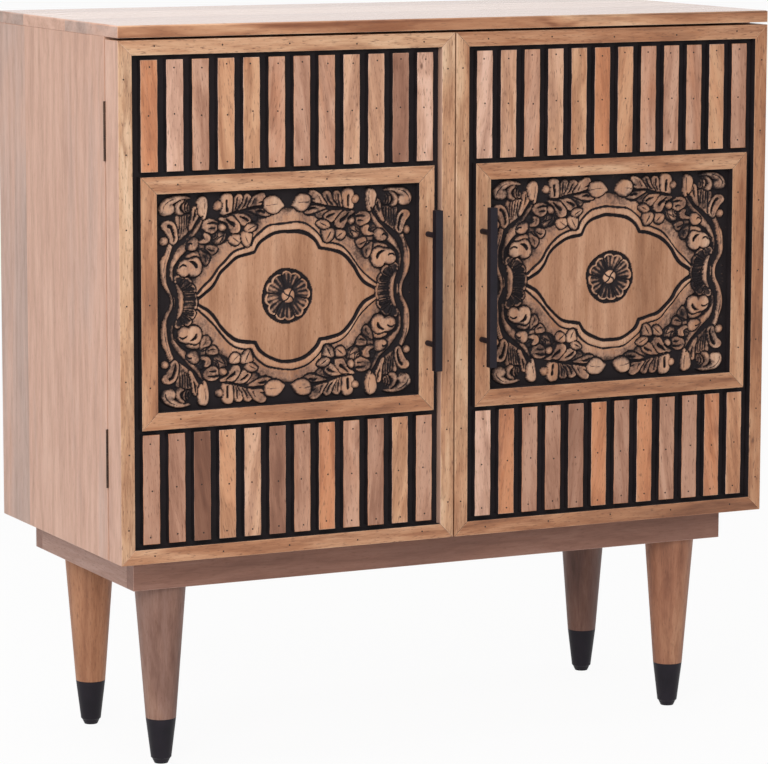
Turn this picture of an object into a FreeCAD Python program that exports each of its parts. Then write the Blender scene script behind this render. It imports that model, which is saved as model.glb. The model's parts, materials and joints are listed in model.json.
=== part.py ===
import FreeCAD, Part
import os
from types import SimpleNamespace

import Sketcher

# A two-door mango-wood cabinet on four turned legs. Each door is a deep mitred frame round a
# black board that carries two rows of slats, and between them a framed panel of carved leaves.
# X runs to the right, Y to the back and Z up, from the floor under the middle of the whole piece.

# Every driving size, in millimetres, with two counts.
SIZES = {
    # Case
    "cabinet_width": 900,
    "cabinet_depth": 400,
    "top_thickness": 15,
    "top_edge_round": 2.5,
    "side_thickness": 18,
    "bottom_thickness": 18,
    "bottom_housing": 8,
    "back_thickness": 6,
    "back_rabbet": 9,
    # Shelf and its four pins
    "shelf_thickness": 18,
    "shelf_rise": 290,
    "shelf_setback": 14,
    "shelf_clearance": 1,
    "pin_radius": 2.5,
    "pin_depth": 10,
    "pin_reach": 9,
    "pin_inset": 45,
    "pin_clearance": 0.1,
    # Base frame
    "base_height": 42,
    "base_side_inset": 34,
    "base_front_inset": 46,
    "base_back_inset": 26,
    "rail_thickness": 22,
    "block_length": 68,
    "block_corner_cut": 24,
    # Legs, each with a black cap and a bolt
    "leg_length": 228,
    "leg_top_radius": 32.2,
    "leg_side_offset": 52,
    "leg_front_offset": 40,
    "leg_back_offset": 55,
    "cap_length": 52,
    "cap_top_radius": 19,
    "cap_tip_radius": 12.8,
    "cap_wall": 1.5,
    "cap_clearance": 0.1,
    "foot_radius": 8.5,
    "foot_height": 6,
    "bolt_radius": 4,
    "bolt_in_leg": 45,
    "bolt_in_block": 32,
    "bolt_clearance": 0.2,
    # Door frame, board and slats
    "door_height": 632,
    "door_thickness": 40,
    "door_top_gap": 3,
    "door_back_gap": 3,
    "door_seam": 2,
    "frame_width": 18,
    "board_recess": 12,
    "board_thickness": 18,
    "board_groove": 8,
    "board_clearance": 0.5,
    "slat_count": 12,
    "slat_width": 22,
    "slat_thickness": 10,
    "slat_end_gap": 5.5,
    # Carved panel and its frame
    "panel_frame_width": 21,
    "panel_frame_height": 306,
    "panel_frame_gap": 10,
    "panel_lap": 6,
    "panel_housing": 8,
    "panel_clearance": 0.25,
    "band_relief": 3.5,
    "moulding_relief": 6,
    "field_relief": 4.5,
    "moulding_width": 12,
    "band_width": 26,
    "field_reach": 118,
    "field_rise": 80,
    "notch_reach": 44.5,
    "notch_rise": 54,
    "shoulder_reach": 94,
    "shoulder_rise": 26.6,
    "rosette_radius": 27,
    "rosette_relief": 6.5,
    "petal_count": 12,
    "petal_radius": 7,
    "button_radius": 9.5,
    "button_relief": 7,
    "leaf_relief": 5.6,
    "under_leaf_relief": 5,
    "stem_relief": 4.4,
    "shell_relief": 5.2,
    # Handle
    "handle_length": 200,
    "handle_bar": 10,
    "handle_reach": 32,
    "handle_edge_offset": 37,
    "post_radius": 3.5,
    "post_spacing": 136,
    "screw_radius": 2,
    "screw_head_radius": 4,
    "screw_head_height": 2.5,
    "screw_in_post": 12,
    "screw_clearance": 0.2,
    # Butt hinges
    "hinge_length": 71.5,
    "hinge_drop": 74,
    "hinge_lift": 90,
    "leaf_thickness": 1.3,
    "leaf_width": 14,
    "leaf_clearance": 1,
    "knuckle_radius": 1.4,
    "knuckle_gap": 0.3,
    "axis_reach": 0.8,
    "hinge_pin_radius": 0.75,
    "hinge_pin_clearance": 0.05,
    "hinge_screw_radius": 1.4,
    "hinge_screw_head": 2.6,
    "hinge_screw_length": 11,
    "hinge_screw_pitch": 24,
    "hinge_screw_clearance": 0.1,
    # Double magnetic catch and its strike plates
    "catch_length": 60,
    "catch_height": 16,
    "catch_depth": 15,
    "strike_thickness": 1.5,
    "strike_height": 11,
    "strike_width": 14,
    "strike_inset": 2,
    "catch_clearance": 0.3,
}

KNUCKLES = 5
LEFT, RIGHT = -1, 1
SIDE_NAMES = {LEFT: "left", RIGHT: "right"}

# The panel's middle outline between its corners: the points that its arcs pass through, as shares of
# the corners' reach and rise, and the way that each point moves when the outline is grown.
HOLLOW_SHARE = (0.9, 0.44)
SWELL_SHARE = (0.49, 0.6)
HOLLOW_OUTWARD = (0.75, 0.6)
SHOULDER_OUTWARD = (0.6, 0.8)
SWELL_OUTWARD = (0.35, 1)
NOTCH_OUTWARD = (0.1, 0.9)

# The carved leaves of one quarter of a panel, in millimetres from its middle, drawn for a panel of
# this half size. Each has a foot, a tip, a bend of its midrib to the left and half a width.
CARVING_HALF_WIDTH, CARVING_HALF_HEIGHT = 175.5, 132
FRONT_LEAVES = {
    "corner_leaf": [
        ((131, 125), (168, 113), 4.9, 3.5),
        ((129, 86), (122.5, 114), 2.6, 3.9),
        ((150.5, 71), (166.5, 94.5), 6.1, 7),
    ],
    "club_and_leaflets": [
        ((111, 98.5), (113.5, 127.5), 0, 7.1),
        ((112, 91), (92.5, 96.5), -1.2, 3.6),
        ((111, 88.5), (93.5, 84.5), 1.2, 3.3),
        ((110, 81.5), (117.5, 70), -6.3, 3.1),
    ],
    "sprig_upper_leaves": [
        ((81, 103), (81.2, 128), 0, 7.5),
        ((71, 104.5), (64, 126), 0.5, 5.2),
        ((51.5, 110.5), (33, 127.5), 2, 6.3),
        ((30.5, 115), (5.4, 110.5), -0.4, 10),
    ],
    "sprig_lower_leaves": [
        ((75, 101), (50, 92), 0.5, 5.9),
        ((90.5, 99.8), (66, 82.5), -1.7, 5.6),
        ((54.5, 103.4), (40, 96), 0.4, 3.2),
        ((51.5, 106.8), (22.5, 102.8), 0.4, 3.9),
    ],
    "flower_petals": [
        ((78.5, 72.5), (63.5, 73), 0, 5.8),
        ((60.5, 79), (51.5, 63.5), -1.4, 5.8),
        ((56.2, 81.5), (40.5, 87.5), -0.4, 5.1),
    ],
}
UNDER_LEAVES = {
    "corner_curl_and_fan": [
        ((139, 122.5), (139.5, 105.5), 7.3, 2.7),
        ((149, 74), (137.5, 104.5), 4.7, 8.6),
    ],
    "small_leaves": [
        ((107, 62.5), (94, 63), 1.8, 5.4),
        ((115, 60.5), (106.5, 43.5), -1.5, 5.4),
        ((64.5, 107), (51.5, 126), 2.3, 5),
    ],
}
STEMS = {"stems": [((153, 73.5), (151, 3), 12, 4.6), ((113, 98), (152.5, 26), 9, 4.4)]}
SHELL = [((146.5, 20), (146.5, -20), -5.9, 3), ((149.5, 30), (149.5, -30), -27.7, 1.8)]
# Round knobs: place and radius.
FRONT_KNOBS = [((163.1, 74.7), 5.6), ((126, 68.5), 7.6)]
UNDER_KNOBS = [((159.2, 111.6), 8.4), ((92.2, 114.6), 5.8), ((86.4, 88.8), 5.4)]
# Corners of the comma-shaped scroll, each with the point that the arc after it passes through.
SCROLL = [((131.2, 34.2), (114.2, 41)), ((123, 53), (136, 51)), ((146.2, 42), (140, 32))]

doc = FreeCAD.newDocument("carved_cabinet")
sheet = doc.addObject("Spreadsheet::Sheet", "sizes")
for row, (name, number) in enumerate(SIZES.items(), start=1):
    sheet.set(f"A{row}", name)
    sheet.set(f"B{row}", str(number))
    sheet.setAlias(f"B{row}", name)
doc.recompute()


class Size:
    """A length that knows its value and the sheet expression that gives it."""

    def __init__(self, value, text):
        self.value = value
        self.text = text

    def __add__(self, other):
        other = as_size(other)
        return Size(self.value + other.value, f"({self.text} + {other.text})")

    def __sub__(self, other):
        other = as_size(other)
        return Size(self.value - other.value, f"({self.text} - {other.text})")

    def __mul__(self, factor):
        factor = as_size(factor)
        return Size(self.value * factor.value, f"({self.text} * {factor.text})")

    def __truediv__(self, divisor):
        divisor = as_size(divisor)
        return Size(self.value / divisor.value, f"({self.text} / {divisor.text})")

    def __neg__(self):
        return self * -1

    __radd__ = __add__
    __rmul__ = __mul__


def as_size(length):
    if isinstance(length, Size):
        return length
    return Size(float(length), f"({float(length)})")


mm = SimpleNamespace(**{name: Size(float(sheet.get(name)), f"sizes.{name}") for name in SIZES})

# Places that several pieces share. The handles stand in front of the doors, so the case lies a
# little behind the middle.
half_width = mm.cabinet_width / 2
face = (mm.handle_reach - mm.cabinet_depth) / 2
back = face + mm.cabinet_depth
door_back = face + mm.door_thickness
case_front = door_back + mm.door_back_gap
case_bottom = mm.leg_length + mm.base_height
door_top = case_bottom + mm.door_height
case_top = door_top + mm.door_top_gap
inside_half_width = half_width - mm.side_thickness
hinge_y = door_back + mm.door_back_gap / 2
upper_hinge_z = door_top - mm.hinge_drop - mm.hinge_length
lower_hinge_z = case_bottom + mm.hinge_lift
screw_x = half_width - mm.leaf_clearance - mm.leaf_width / 2
axis_x = half_width + mm.axis_reach
knuckle_length = (mm.hinge_length - mm.knuckle_gap * (KNUCKLES - 1)) / KNUCKLES
leaf_gap = mm.door_back_gap / 2 - mm.leaf_thickness

# Shelf
shelf_z = case_bottom + mm.bottom_thickness + mm.shelf_rise
pin_z = shelf_z - mm.pin_radius
shelf_front = case_front + mm.shelf_setback
shelf_back = back - mm.back_thickness - mm.shelf_clearance
pin_rows = (shelf_front + mm.pin_inset, shelf_back - mm.pin_inset)

# Base and legs
base_half = half_width - mm.base_side_inset
base_front = face + mm.base_front_inset
base_back = back - mm.base_back_inset
leg_rows = {"front": base_front + mm.leg_front_offset, "back": base_back - mm.leg_back_offset}
leg_x = base_half - mm.leg_side_offset
bolt_hole = mm.bolt_radius + mm.bolt_clearance
cap_top = mm.foot_height + mm.cap_length
cap_floor = mm.foot_height + mm.cap_wall

# Doors
board_front = face + mm.board_recess
board_back = board_front + mm.board_thickness
seam_half = mm.door_seam / 2
opening_width = half_width - seam_half - mm.frame_width * 2
door_middle_x = (half_width + seam_half) / 2
door_middle_z = case_bottom + mm.door_height / 2
slat_gap = (opening_width - mm.slat_width * mm.slat_count) / (mm.slat_count + 1)
slat_length = (mm.door_height - mm.frame_width * 2 - mm.panel_frame_height - mm.slat_end_gap * 4) / 2
panel_half_width = opening_width / 2 - mm.panel_frame_gap - mm.panel_frame_width
panel_half_height = mm.panel_frame_height / 2 - mm.panel_frame_width
handle_x = seam_half + mm.handle_edge_offset
post_heights = (door_middle_z - mm.post_spacing / 2, door_middle_z + mm.post_spacing / 2)

pieces = []


def keep(item, label):
    """Names a finished sub-part and puts it on the list of those that are written."""
    item.Label = label
    pieces.append(item)
    return item


def bind(item, prop, length):
    item.setExpression(prop, as_size(length).text)


def place(item, x=0, y=0, z=0):
    for axis, length in zip("xyz", (x, y, z)):
        bind(item, f"Placement.Base.{axis}", length)


def board(name, lengths, corner):
    """A plain sawn board with its lowest corner at a point."""
    item = doc.addObject("Part::Box", name)
    for prop, length in zip(("Length", "Width", "Height"), lengths):
        bind(item, prop, length)
    place(item, *corner)
    return item


def rod(name, radius, length, foot, tilt=None):
    """A round bar that stands on a point, upright or tilted by an axis and an angle."""
    item = doc.addObject("Part::Cylinder", name)
    if tilt:
        item.Placement.Rotation = FreeCAD.Rotation(*tilt)
    bind(item, "Radius", radius)
    bind(item, "Height", length)
    place(item, *foot)
    return item


TO_BACK = (FreeCAD.Vector(1, 0, 0), -90)
TO_RIGHT = (FreeCAD.Vector(0, 1, 0), 90)


def cone(name, first_radius, last_radius, length, foot, tilt):
    """A tapered plug that starts at a point."""
    item = doc.addObject("Part::Cone", name)
    item.Placement.Rotation = FreeCAD.Rotation(*tilt)
    bind(item, "Radius1", first_radius)
    bind(item, "Radius2", last_radius)
    bind(item, "Height", length)
    place(item, *foot)
    return item


def group(label, items):
    """Finished pieces under one name, each still its own solid."""
    bundle = doc.addObject("Part::Compound", label)
    bundle.Links = items
    return keep(bundle, label)


def cut(name, base, tools):
    """A piece with other shapes cut out of it."""
    gathered = doc.addObject("Part::Compound", f"{name}_tools")
    gathered.Links = tools
    result = doc.addObject("Part::Cut", name)
    result.Base = base
    result.Tool = gathered
    doc.recompute()
    if not result.Shape.Volume < base.Shape.Volume:
        raise RuntimeError(f"nothing was cut from {name}")
    return result


def fuse(name, items):
    result = doc.addObject("Part::MultiFuse", name)
    result.Shapes = items
    return result


def body(name):
    return doc.addObject("PartDesign::Body", name)


def attach(owner, name, plane):
    """A new sketch on one of a body's own planes."""
    sketch = owner.newObject("Sketcher::SketchObject", f"{owner.Name}_{name}")
    support = [item for item in owner.Origin.OriginFeatures if item.Role == f"{plane}_Plane"]
    sketch.AttachmentSupport = [(support[0], "")]
    sketch.MapMode = "FlatFace"
    return sketch


def hold(sketch, geometry, point, place_on_plane):
    """Holds one point of a sketch by two bound distances from its origin."""
    for kind, length in zip(("DistanceX", "DistanceY"), place_on_plane):
        length = as_size(length)
        index = sketch.addConstraint(Sketcher.Constraint(kind, geometry, point, length.value))
        sketch.setExpression(f"Constraints[{index}]", length.text)


def vector(point):
    return FreeCAD.Vector(as_size(point[0]).value, as_size(point[1]).value, 0)


class Via(tuple):
    """A point that the arc between two corners of an outline passes through."""


def add_outline(sketch, path):
    """Draws a closed outline: corners joined by straight sides, or by an arc through a Via point."""
    corners = [point for point in path if not isinstance(point, Via)]
    sides = []
    for point in path:
        if isinstance(point, Via):
            sides[-1][1] = point
        else:
            sides.append([point, None])
    joints = []
    for index, (corner, via) in enumerate(sides):
        start, end = vector(corner), vector(corners[(index + 1) % len(corners)])
        if via is None:
            line = sketch.addGeometry(Part.LineSegment(start, end), False)
            joints.append((line, 1, 2))
            continue
        middle = vector(via)
        clockwise = (middle - start).cross(end - middle).z < 0
        first, last = (end, start) if clockwise else (start, end)
        arc = sketch.addGeometry(Part.Arc(first, middle, last), False)
        joints.append((arc, 2, 1) if clockwise else (arc, 1, 2))
        marker = sketch.addGeometry(Part.Point(middle), True)
        hold(sketch, marker, 1, via)
        sketch.addConstraint(Sketcher.Constraint("PointOnObject", marker, 1, arc))
    for index, (side, start, end) in enumerate(joints):
        following = joints[(index + 1) % len(joints)]
        sketch.addConstraint(Sketcher.Constraint("Coincident", side, end, following[0], following[1]))
        hold(sketch, side, start, corners[index])
    return sketch


def add_circle(sketch, centre, radius):
    radius = as_size(radius)
    circle = sketch.addGeometry(Part.Circle(vector(centre), FreeCAD.Vector(0, 0, 1), radius.value), False)
    hold(sketch, circle, 3, centre)
    index = sketch.addConstraint(Sketcher.Constraint("Radius", circle, radius.value))
    sketch.setExpression(f"Constraints[{index}]", radius.text)
    return sketch


def rectangle(low_x, low_y, high_x, high_y):
    return [(low_x, low_y), (high_x, low_y), (high_x, high_y), (low_x, high_y)]


def pad(owner, sketch, length, reverse=False):
    feature = owner.newObject("PartDesign::Pad", f"{sketch.Name}_pad")
    feature.Profile = sketch
    bind(feature, "Length", length)
    feature.Reversed = reverse
    return feature


def pocket(owner, sketch, length=None, reverse=False):
    """Cuts a sketch into a body, to a depth or right through both ways."""
    doc.recompute()
    volume = owner.Shape.Volume
    feature = owner.newObject("PartDesign::Pocket", f"{sketch.Name}_pocket")
    feature.Profile = sketch
    if length is None:
        feature.SideType = "Symmetric"
        feature.Type = "ThroughAll"
    else:
        bind(feature, "Length", length)
    feature.Reversed = reverse
    doc.recompute()
    if not feature.Shape.Volume < volume:
        raise RuntimeError(f"{sketch.Name} cuts nothing")
    return feature


def turned(name, profile):
    """A piece turned on a lathe: a half outline in X and Z, spun about Z."""
    owner = body(name)
    sketch = add_outline(attach(owner, "profile", "XZ"), profile)
    feature = owner.newObject("PartDesign::Revolution", f"{name}_turning")
    feature.Profile = sketch
    feature.ReferenceAxis = (sketch, ["V_Axis"])
    return owner


def slab(name, path, thickness):
    """A piece cut to an outline as seen from the front and given its thickness towards the back."""
    owner = body(name)
    pad(owner, add_outline(attach(owner, "outline", "XZ"), path), thickness, reverse=True)
    return owner


def screw_places(z_start):
    """The heights of one hinge leaf's three screws."""
    middle = z_start + mm.hinge_length / 2
    return [middle - mm.hinge_screw_pitch, middle, middle + mm.hinge_screw_pitch]


def make_top():
    top = body("top_panel")
    outline = rectangle(-half_width, face, half_width, back)
    blank = pad(top, add_outline(attach(top, "outline", "XY"), outline), mm.top_thickness)
    doc.recompute()
    rounding = top.newObject("PartDesign::Fillet", "top_panel_rounding")
    rounding.Base = (blank, ["Face6"])
    bind(rounding, "Radius", mm.top_edge_round)
    place(top, z=case_top)
    return keep(top, "top_panel")


def make_side(side):
    """A side panel, rabbeted for the back, housed for the bottom and drilled for pins and hinges."""
    name = f"{SIDE_NAMES[side]}_side_panel"
    panel = body(name)
    outer = half_width * side
    inner = inside_half_width * side
    step = (inside_half_width + mm.back_rabbet) * side
    rabbet = back - mm.back_thickness
    outline = [
        (outer, case_front),
        (outer, back),
        (step, back),
        (step, rabbet),
        (inner, rabbet),
        (inner, case_front),
    ]
    pad(panel, add_outline(attach(panel, "outline", "XY"), outline), case_top - case_bottom)
    housing = (inside_half_width + mm.bottom_housing) * side
    notch = rectangle(inner, 0, housing, mm.bottom_thickness)
    pocket(panel, add_outline(attach(panel, "housing", "XZ"), notch))
    holes = attach(panel, "pin_holes", "YZ")
    bind(holes, "AttachmentOffset.Base.z", inner)
    for y in pin_rows:
        add_circle(holes, (y, pin_z - case_bottom), mm.pin_radius + mm.pin_clearance)
    pocket(panel, holes, mm.pin_depth, reverse=side == RIGHT)
    screws = attach(panel, "hinge_screw_holes", "XZ")
    bind(screws, "AttachmentOffset.Base.z", -case_front)
    for z_start in (upper_hinge_z, lower_hinge_z):
        for z in screw_places(z_start):
            centre = (screw_x * side, z - case_bottom)
            add_circle(screws, centre, mm.hinge_screw_radius + mm.hinge_screw_clearance)
    pocket(panel, screws, mm.hinge_screw_length)
    place(panel, z=case_bottom)
    return keep(panel, name)


def make_case():
    make_top()
    for side in (LEFT, RIGHT):
        make_side(side)
    bottom_half = inside_half_width + mm.bottom_housing
    bottom_depth = back - mm.back_thickness - case_front
    bottom = board(
        "bottom_panel",
        (bottom_half * 2, bottom_depth, mm.bottom_thickness),
        (-bottom_half, case_front, case_bottom),
    )
    keep(bottom, "bottom_panel")
    back_half = inside_half_width + mm.back_rabbet
    panel = board(
        "back_panel",
        (back_half * 2, mm.back_thickness, case_top - case_bottom),
        (-back_half, back - mm.back_thickness, case_bottom),
    )
    keep(panel, "back_panel")
    shelf_half = inside_half_width - mm.shelf_clearance
    shelf = board(
        "shelf",
        (shelf_half * 2, shelf_back - shelf_front, mm.shelf_thickness),
        (-shelf_half, shelf_front, shelf_z),
    )
    keep(shelf, "shelf")
    pins = []
    for side in (LEFT, RIGHT):
        start = inside_half_width - mm.pin_reach
        if side == LEFT:
            start = -inside_half_width - mm.pin_depth
        for row, y in enumerate(pin_rows):
            name = f"{SIDE_NAMES[side]}_shelf_pin_{row}"
            length = mm.pin_depth + mm.pin_reach
            pins.append(rod(name, mm.pin_radius, length, (start, y, pin_z), TO_RIGHT))
    group("shelf_pins", pins)


def make_base():
    """Front and back rails run the full width, the side rails butt between them."""
    for name, y in (("front", base_front), ("back", base_back - mm.rail_thickness)):
        lengths = (base_half * 2, mm.rail_thickness, mm.base_height)
        rail = board(f"base_{name}_rail", lengths, (-base_half, y, mm.leg_length))
        keep(rail, f"base_{name}_rail")
    for side in (LEFT, RIGHT):
        name = f"base_{SIDE_NAMES[side]}_rail"
        x = -base_half if side == LEFT else base_half - mm.rail_thickness
        lengths = (mm.rail_thickness, base_back - base_front - mm.rail_thickness * 2, mm.base_height)
        keep(board(name, lengths, (x, base_front + mm.rail_thickness, mm.leg_length)), name)
    blocks = []
    for row, leg_y in leg_rows.items():
        for side in (LEFT, RIGHT):
            blocks.append(make_block(row, side, leg_y))
    group("base_corner_blocks", blocks)


def make_block(row, side, leg_y):
    """A corner block inside the rails, its inner corner cut off, drilled for the leg's bolt."""
    block = body(f"{row}_{SIDE_NAMES[side]}_corner_block")
    inward = 1 if row == "front" else -1
    near_x = (base_half - mm.rail_thickness) * side
    far_x = (base_half - mm.rail_thickness - mm.block_length) * side
    cut_x = (base_half - mm.rail_thickness - mm.block_length + mm.block_corner_cut) * side
    edge = base_front if row == "front" else base_back
    near_y = edge + mm.rail_thickness * inward
    far_y = near_y + mm.block_length * inward
    cut_y = far_y - mm.block_corner_cut * inward
    outline = [(near_x, near_y), (far_x, near_y), (far_x, cut_y), (cut_x, far_y), (near_x, far_y)]
    pad(block, add_outline(attach(block, "outline", "XY"), outline), mm.base_height)
    hole = add_circle(attach(block, "bolt_hole", "XY"), (leg_x * side, leg_y), bolt_hole)
    pocket(block, hole)
    place(block, z=mm.leg_length)
    return block


def make_leg(label):
    """A straight taper, turned down at its foot to go into the cap, and bored for the bolt."""
    socket_top = mm.cap_top_radius - mm.cap_wall - mm.cap_clearance
    socket_tip = mm.cap_tip_radius - mm.cap_wall - mm.cap_clearance
    bore_floor = mm.leg_length - mm.bolt_in_leg
    return turned(
        label,
        [
            (0, cap_floor),
            (socket_tip, cap_floor),
            (socket_top, cap_top),
            (mm.cap_top_radius, cap_top),
            (mm.leg_top_radius, mm.leg_length),
            (bolt_hole, mm.leg_length),
            (bolt_hole, bore_floor),
            (0, bore_floor),
        ],
    )


def make_cap(label):
    """A black cup over the leg's end, with a smaller foot under it."""
    return turned(
        label,
        [
            (0, 0),
            (mm.foot_radius, 0),
            (mm.cap_tip_radius - mm.cap_wall, mm.foot_height),
            (mm.cap_tip_radius, mm.foot_height + mm.cap_wall),
            (mm.cap_top_radius, cap_top),
            (mm.cap_top_radius - mm.cap_wall, cap_top),
            (mm.cap_tip_radius - mm.cap_wall, cap_floor),
            (0, cap_floor),
        ],
    )


def make_legs():
    bolts = []
    for row, y in leg_rows.items():
        for side in (LEFT, RIGHT):
            name = f"{row}_{SIDE_NAMES[side]}"
            for suffix, maker in (("leg", make_leg), ("leg_cap", make_cap)):
                piece = maker(f"{name}_{suffix}")
                place(piece, leg_x * side, y)
                keep(piece, f"{name}_{suffix}")
            length = mm.bolt_in_leg + mm.bolt_in_block
            foot = (leg_x * side, y, mm.leg_length - mm.bolt_in_leg)
            bolts.append(rod(f"{name}_bolt", mm.bolt_radius, length, foot))
    group("leg_bolts", bolts)


def mitred(name, low, high, width, edge, thickness):
    """One member of a mitred frame that spans low to high, lying along the named edge."""
    (x0, z0), (x1, z1) = low, high
    inner_x0, inner_x1, inner_z0, inner_z1 = x0 + width, x1 - width, z0 + width, z1 - width
    outlines = {
        "bottom": [(x0, z0), (x1, z0), (inner_x1, inner_z0), (inner_x0, inner_z0)],
        "top": [(x0, z1), (x1, z1), (inner_x1, inner_z1), (inner_x0, inner_z1)],
        "left": [(x0, z0), (inner_x0, inner_z0), (inner_x0, inner_z1), (x0, z1)],
        "right": [(x1, z0), (inner_x1, inner_z0), (inner_x1, inner_z1), (x1, z1)],
    }
    return slab(name, outlines[edge], thickness)


def cut_groove(member, edge, low, high):
    """Ploughs the groove that holds the door's board along a member's inner side."""
    near, far = mm.board_recess, mm.board_recess + mm.board_thickness
    reach = mm.frame_width - mm.board_groove
    (x0, z0), (x1, z1) = low, high
    spans = {
        "left": ("XY", x0 + reach, x0 + mm.frame_width),
        "right": ("XY", x1 - mm.frame_width, x1 - reach),
        "bottom": ("YZ", z0 + reach, z0 + mm.frame_width),
        "top": ("YZ", z1 - mm.frame_width, z1 - reach),
    }
    plane, start, end = spans[edge]
    path = rectangle(start, near, end, far) if plane == "XY" else rectangle(near, start, far, end)
    pocket(member, add_outline(attach(member, "groove", plane), path))


def make_door_frame(side):
    """Two stiles and two rails, mitred, as deep as the door and grooved for its board."""
    door = f"{SIDE_NAMES[side]}_door"
    edges = sorted((seam_half * side, half_width * side), key=lambda length: length.value)
    low, high = (edges[0], as_size(0)), (edges[1], mm.door_height)
    hinge_edge = SIDE_NAMES[side]
    meeting_edge = SIDE_NAMES[-side]
    members = {
        "hinge_stile": hinge_edge,
        "meeting_stile": meeting_edge,
        "top_rail": "top",
        "bottom_rail": "bottom",
    }
    for part, edge in members.items():
        label = f"{door}_{part}"
        member = mitred(label, low, high, mm.frame_width, edge, mm.door_thickness)
        cut_groove(member, edge, low, high)
        if part == "hinge_stile":
            drill_stile(member, side)
        place(member, y=face, z=case_bottom)
        keep(member, label)


def drill_stile(stile, side):
    """Pilot holes for the hinge screws, from the back of the hinge stile."""
    holes = attach(stile, "hinge_screw_holes", "XZ")
    bind(holes, "AttachmentOffset.Base.z", -mm.door_thickness)
    for z_start in (upper_hinge_z, lower_hinge_z):
        for z in screw_places(z_start):
            centre = (screw_x * side, z - case_bottom)
            add_circle(holes, centre, mm.hinge_screw_radius + mm.hinge_screw_clearance)
    pocket(stile, holes, mm.hinge_screw_length, reverse=True)


def make_board(side):
    """The black board in the frame's groove, recessed for the carved panel and drilled for the handle."""
    label = f"{SIDE_NAMES[side]}_door_board"
    panel = body(label)
    half_x = opening_width / 2 + mm.board_groove - mm.board_clearance
    half_z = mm.door_height / 2 - mm.frame_width + mm.board_groove - mm.board_clearance
    outline = add_outline(attach(panel, "outline", "XZ"), rectangle(-half_x, -half_z, half_x, half_z))
    pad(panel, outline, mm.board_thickness, reverse=True)
    bed_x = panel_half_width + mm.panel_lap + mm.panel_clearance
    bed_z = panel_half_height + mm.panel_lap + mm.panel_clearance
    bed = add_outline(attach(panel, "panel_bed", "XZ"), rectangle(-bed_x, -bed_z, bed_x, bed_z))
    pocket(panel, bed, mm.panel_housing)
    holes = attach(panel, "handle_holes", "XZ")
    for z in post_heights:
        centre = ((handle_x - door_middle_x) * side, z - door_middle_z)
        add_circle(holes, centre, mm.screw_radius + mm.screw_clearance)
    pocket(panel, holes)
    place(panel, door_middle_x * side, board_front, door_middle_z)
    keep(panel, label)


def make_slats(side):
    """Two rows of upright slats on the board, above and below the carved panel."""
    rows = {
        "lower": case_bottom + mm.frame_width + mm.slat_end_gap,
        "upper": door_top - mm.frame_width - mm.slat_end_gap - slat_length,
    }
    start = (door_middle_x * side) - opening_width / 2 + slat_gap
    for row, z in rows.items():
        label = f"{SIDE_NAMES[side]}_door_{row}_slats"
        slats = slab(label, rectangle(0, 0, mm.slat_width, slat_length), mm.slat_thickness)
        first = slats.Tip
        pattern = slats.newObject("PartDesign::LinearPattern", f"{label}_row")
        pattern.Originals = [first]
        pattern.Direction = (slats.Group[0], ["H_Axis"])
        bind(pattern, "Length", (mm.slat_width + slat_gap) * (mm.slat_count - 1))
        bind(pattern, "Occurrences", mm.slat_count)
        slats.Tip = pattern
        place(slats, start, board_front - mm.slat_thickness, z)
        keep(slats, label)


def make_panel_frame(side):
    """The mitred frame round the carved panel, lying on the board flush with the door's face."""
    low = (-panel_half_width - mm.panel_frame_width, -mm.panel_frame_height / 2)
    high = (panel_half_width + mm.panel_frame_width, mm.panel_frame_height / 2)
    for edge in ("left", "right", "top", "bottom"):
        label = f"{SIDE_NAMES[side]}_door_panel_frame_{edge}"
        member = mitred(label, low, high, mm.panel_frame_width, edge, mm.board_recess)
        if edge == SIDE_NAMES[-side]:
            holes = attach(member, "handle_holes", "XZ")
            for z in post_heights:
                centre = ((handle_x - door_middle_x) * side, z - door_middle_z)
                add_circle(holes, centre, mm.screw_radius + mm.screw_clearance)
            pocket(member, holes)
        place(member, door_middle_x * side, face, door_middle_z)
        keep(member, label)


def cartouche(grown):
    """The panel's middle outline, grown by a width: a lobe above and below, an ogee to each side.

    Each quarter runs from the side point by a hollow and a round arc to the notch beside the lobe.
    """

    def grow(reach, rise, outward):
        return (reach + grown * outward[0], rise + grown * outward[1])

    side_point = mm.field_reach + grown
    lobe = mm.field_rise + grown
    hollow_reach = mm.field_reach * HOLLOW_SHARE[0]
    hollow_rise = mm.shoulder_rise * HOLLOW_SHARE[1]
    swell_reach = (mm.shoulder_reach + mm.notch_reach) * SWELL_SHARE[0]
    swell_rise = (mm.shoulder_rise + mm.notch_rise) * SWELL_SHARE[1]
    hollow = grow(hollow_reach, hollow_rise, HOLLOW_OUTWARD)
    shoulder = grow(mm.shoulder_reach, mm.shoulder_rise, SHOULDER_OUTWARD)
    swell = grow(swell_reach, swell_rise, SWELL_OUTWARD)
    notch = grow(mm.notch_reach, mm.notch_rise, NOTCH_OUTWARD)
    path = [(-side_point, 0)]
    for up, first, last in ((1, -1, 1), (-1, 1, -1)):
        path += [
            Via((hollow[0] * first, hollow[1] * up)),
            (shoulder[0] * first, shoulder[1] * up),
            Via((swell[0] * first, swell[1] * up)),
            (notch[0] * first, notch[1] * up),
            Via((0, lobe * up)),
            (notch[0] * last, notch[1] * up),
            Via((swell[0] * last, swell[1] * up)),
            (shoulder[0] * last, shoulder[1] * up),
            Via((hollow[0] * last, hollow[1] * up)),
        ]
        if up == 1:
            path.append((side_point, 0))
    return path


def stretched(point):
    """A point of the leaf carving, moved out or in with the panel's own size."""
    x, z = point
    return (panel_half_width / CARVING_HALF_WIDTH * x, panel_half_height / CARVING_HALF_HEIGHT * z)


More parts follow.
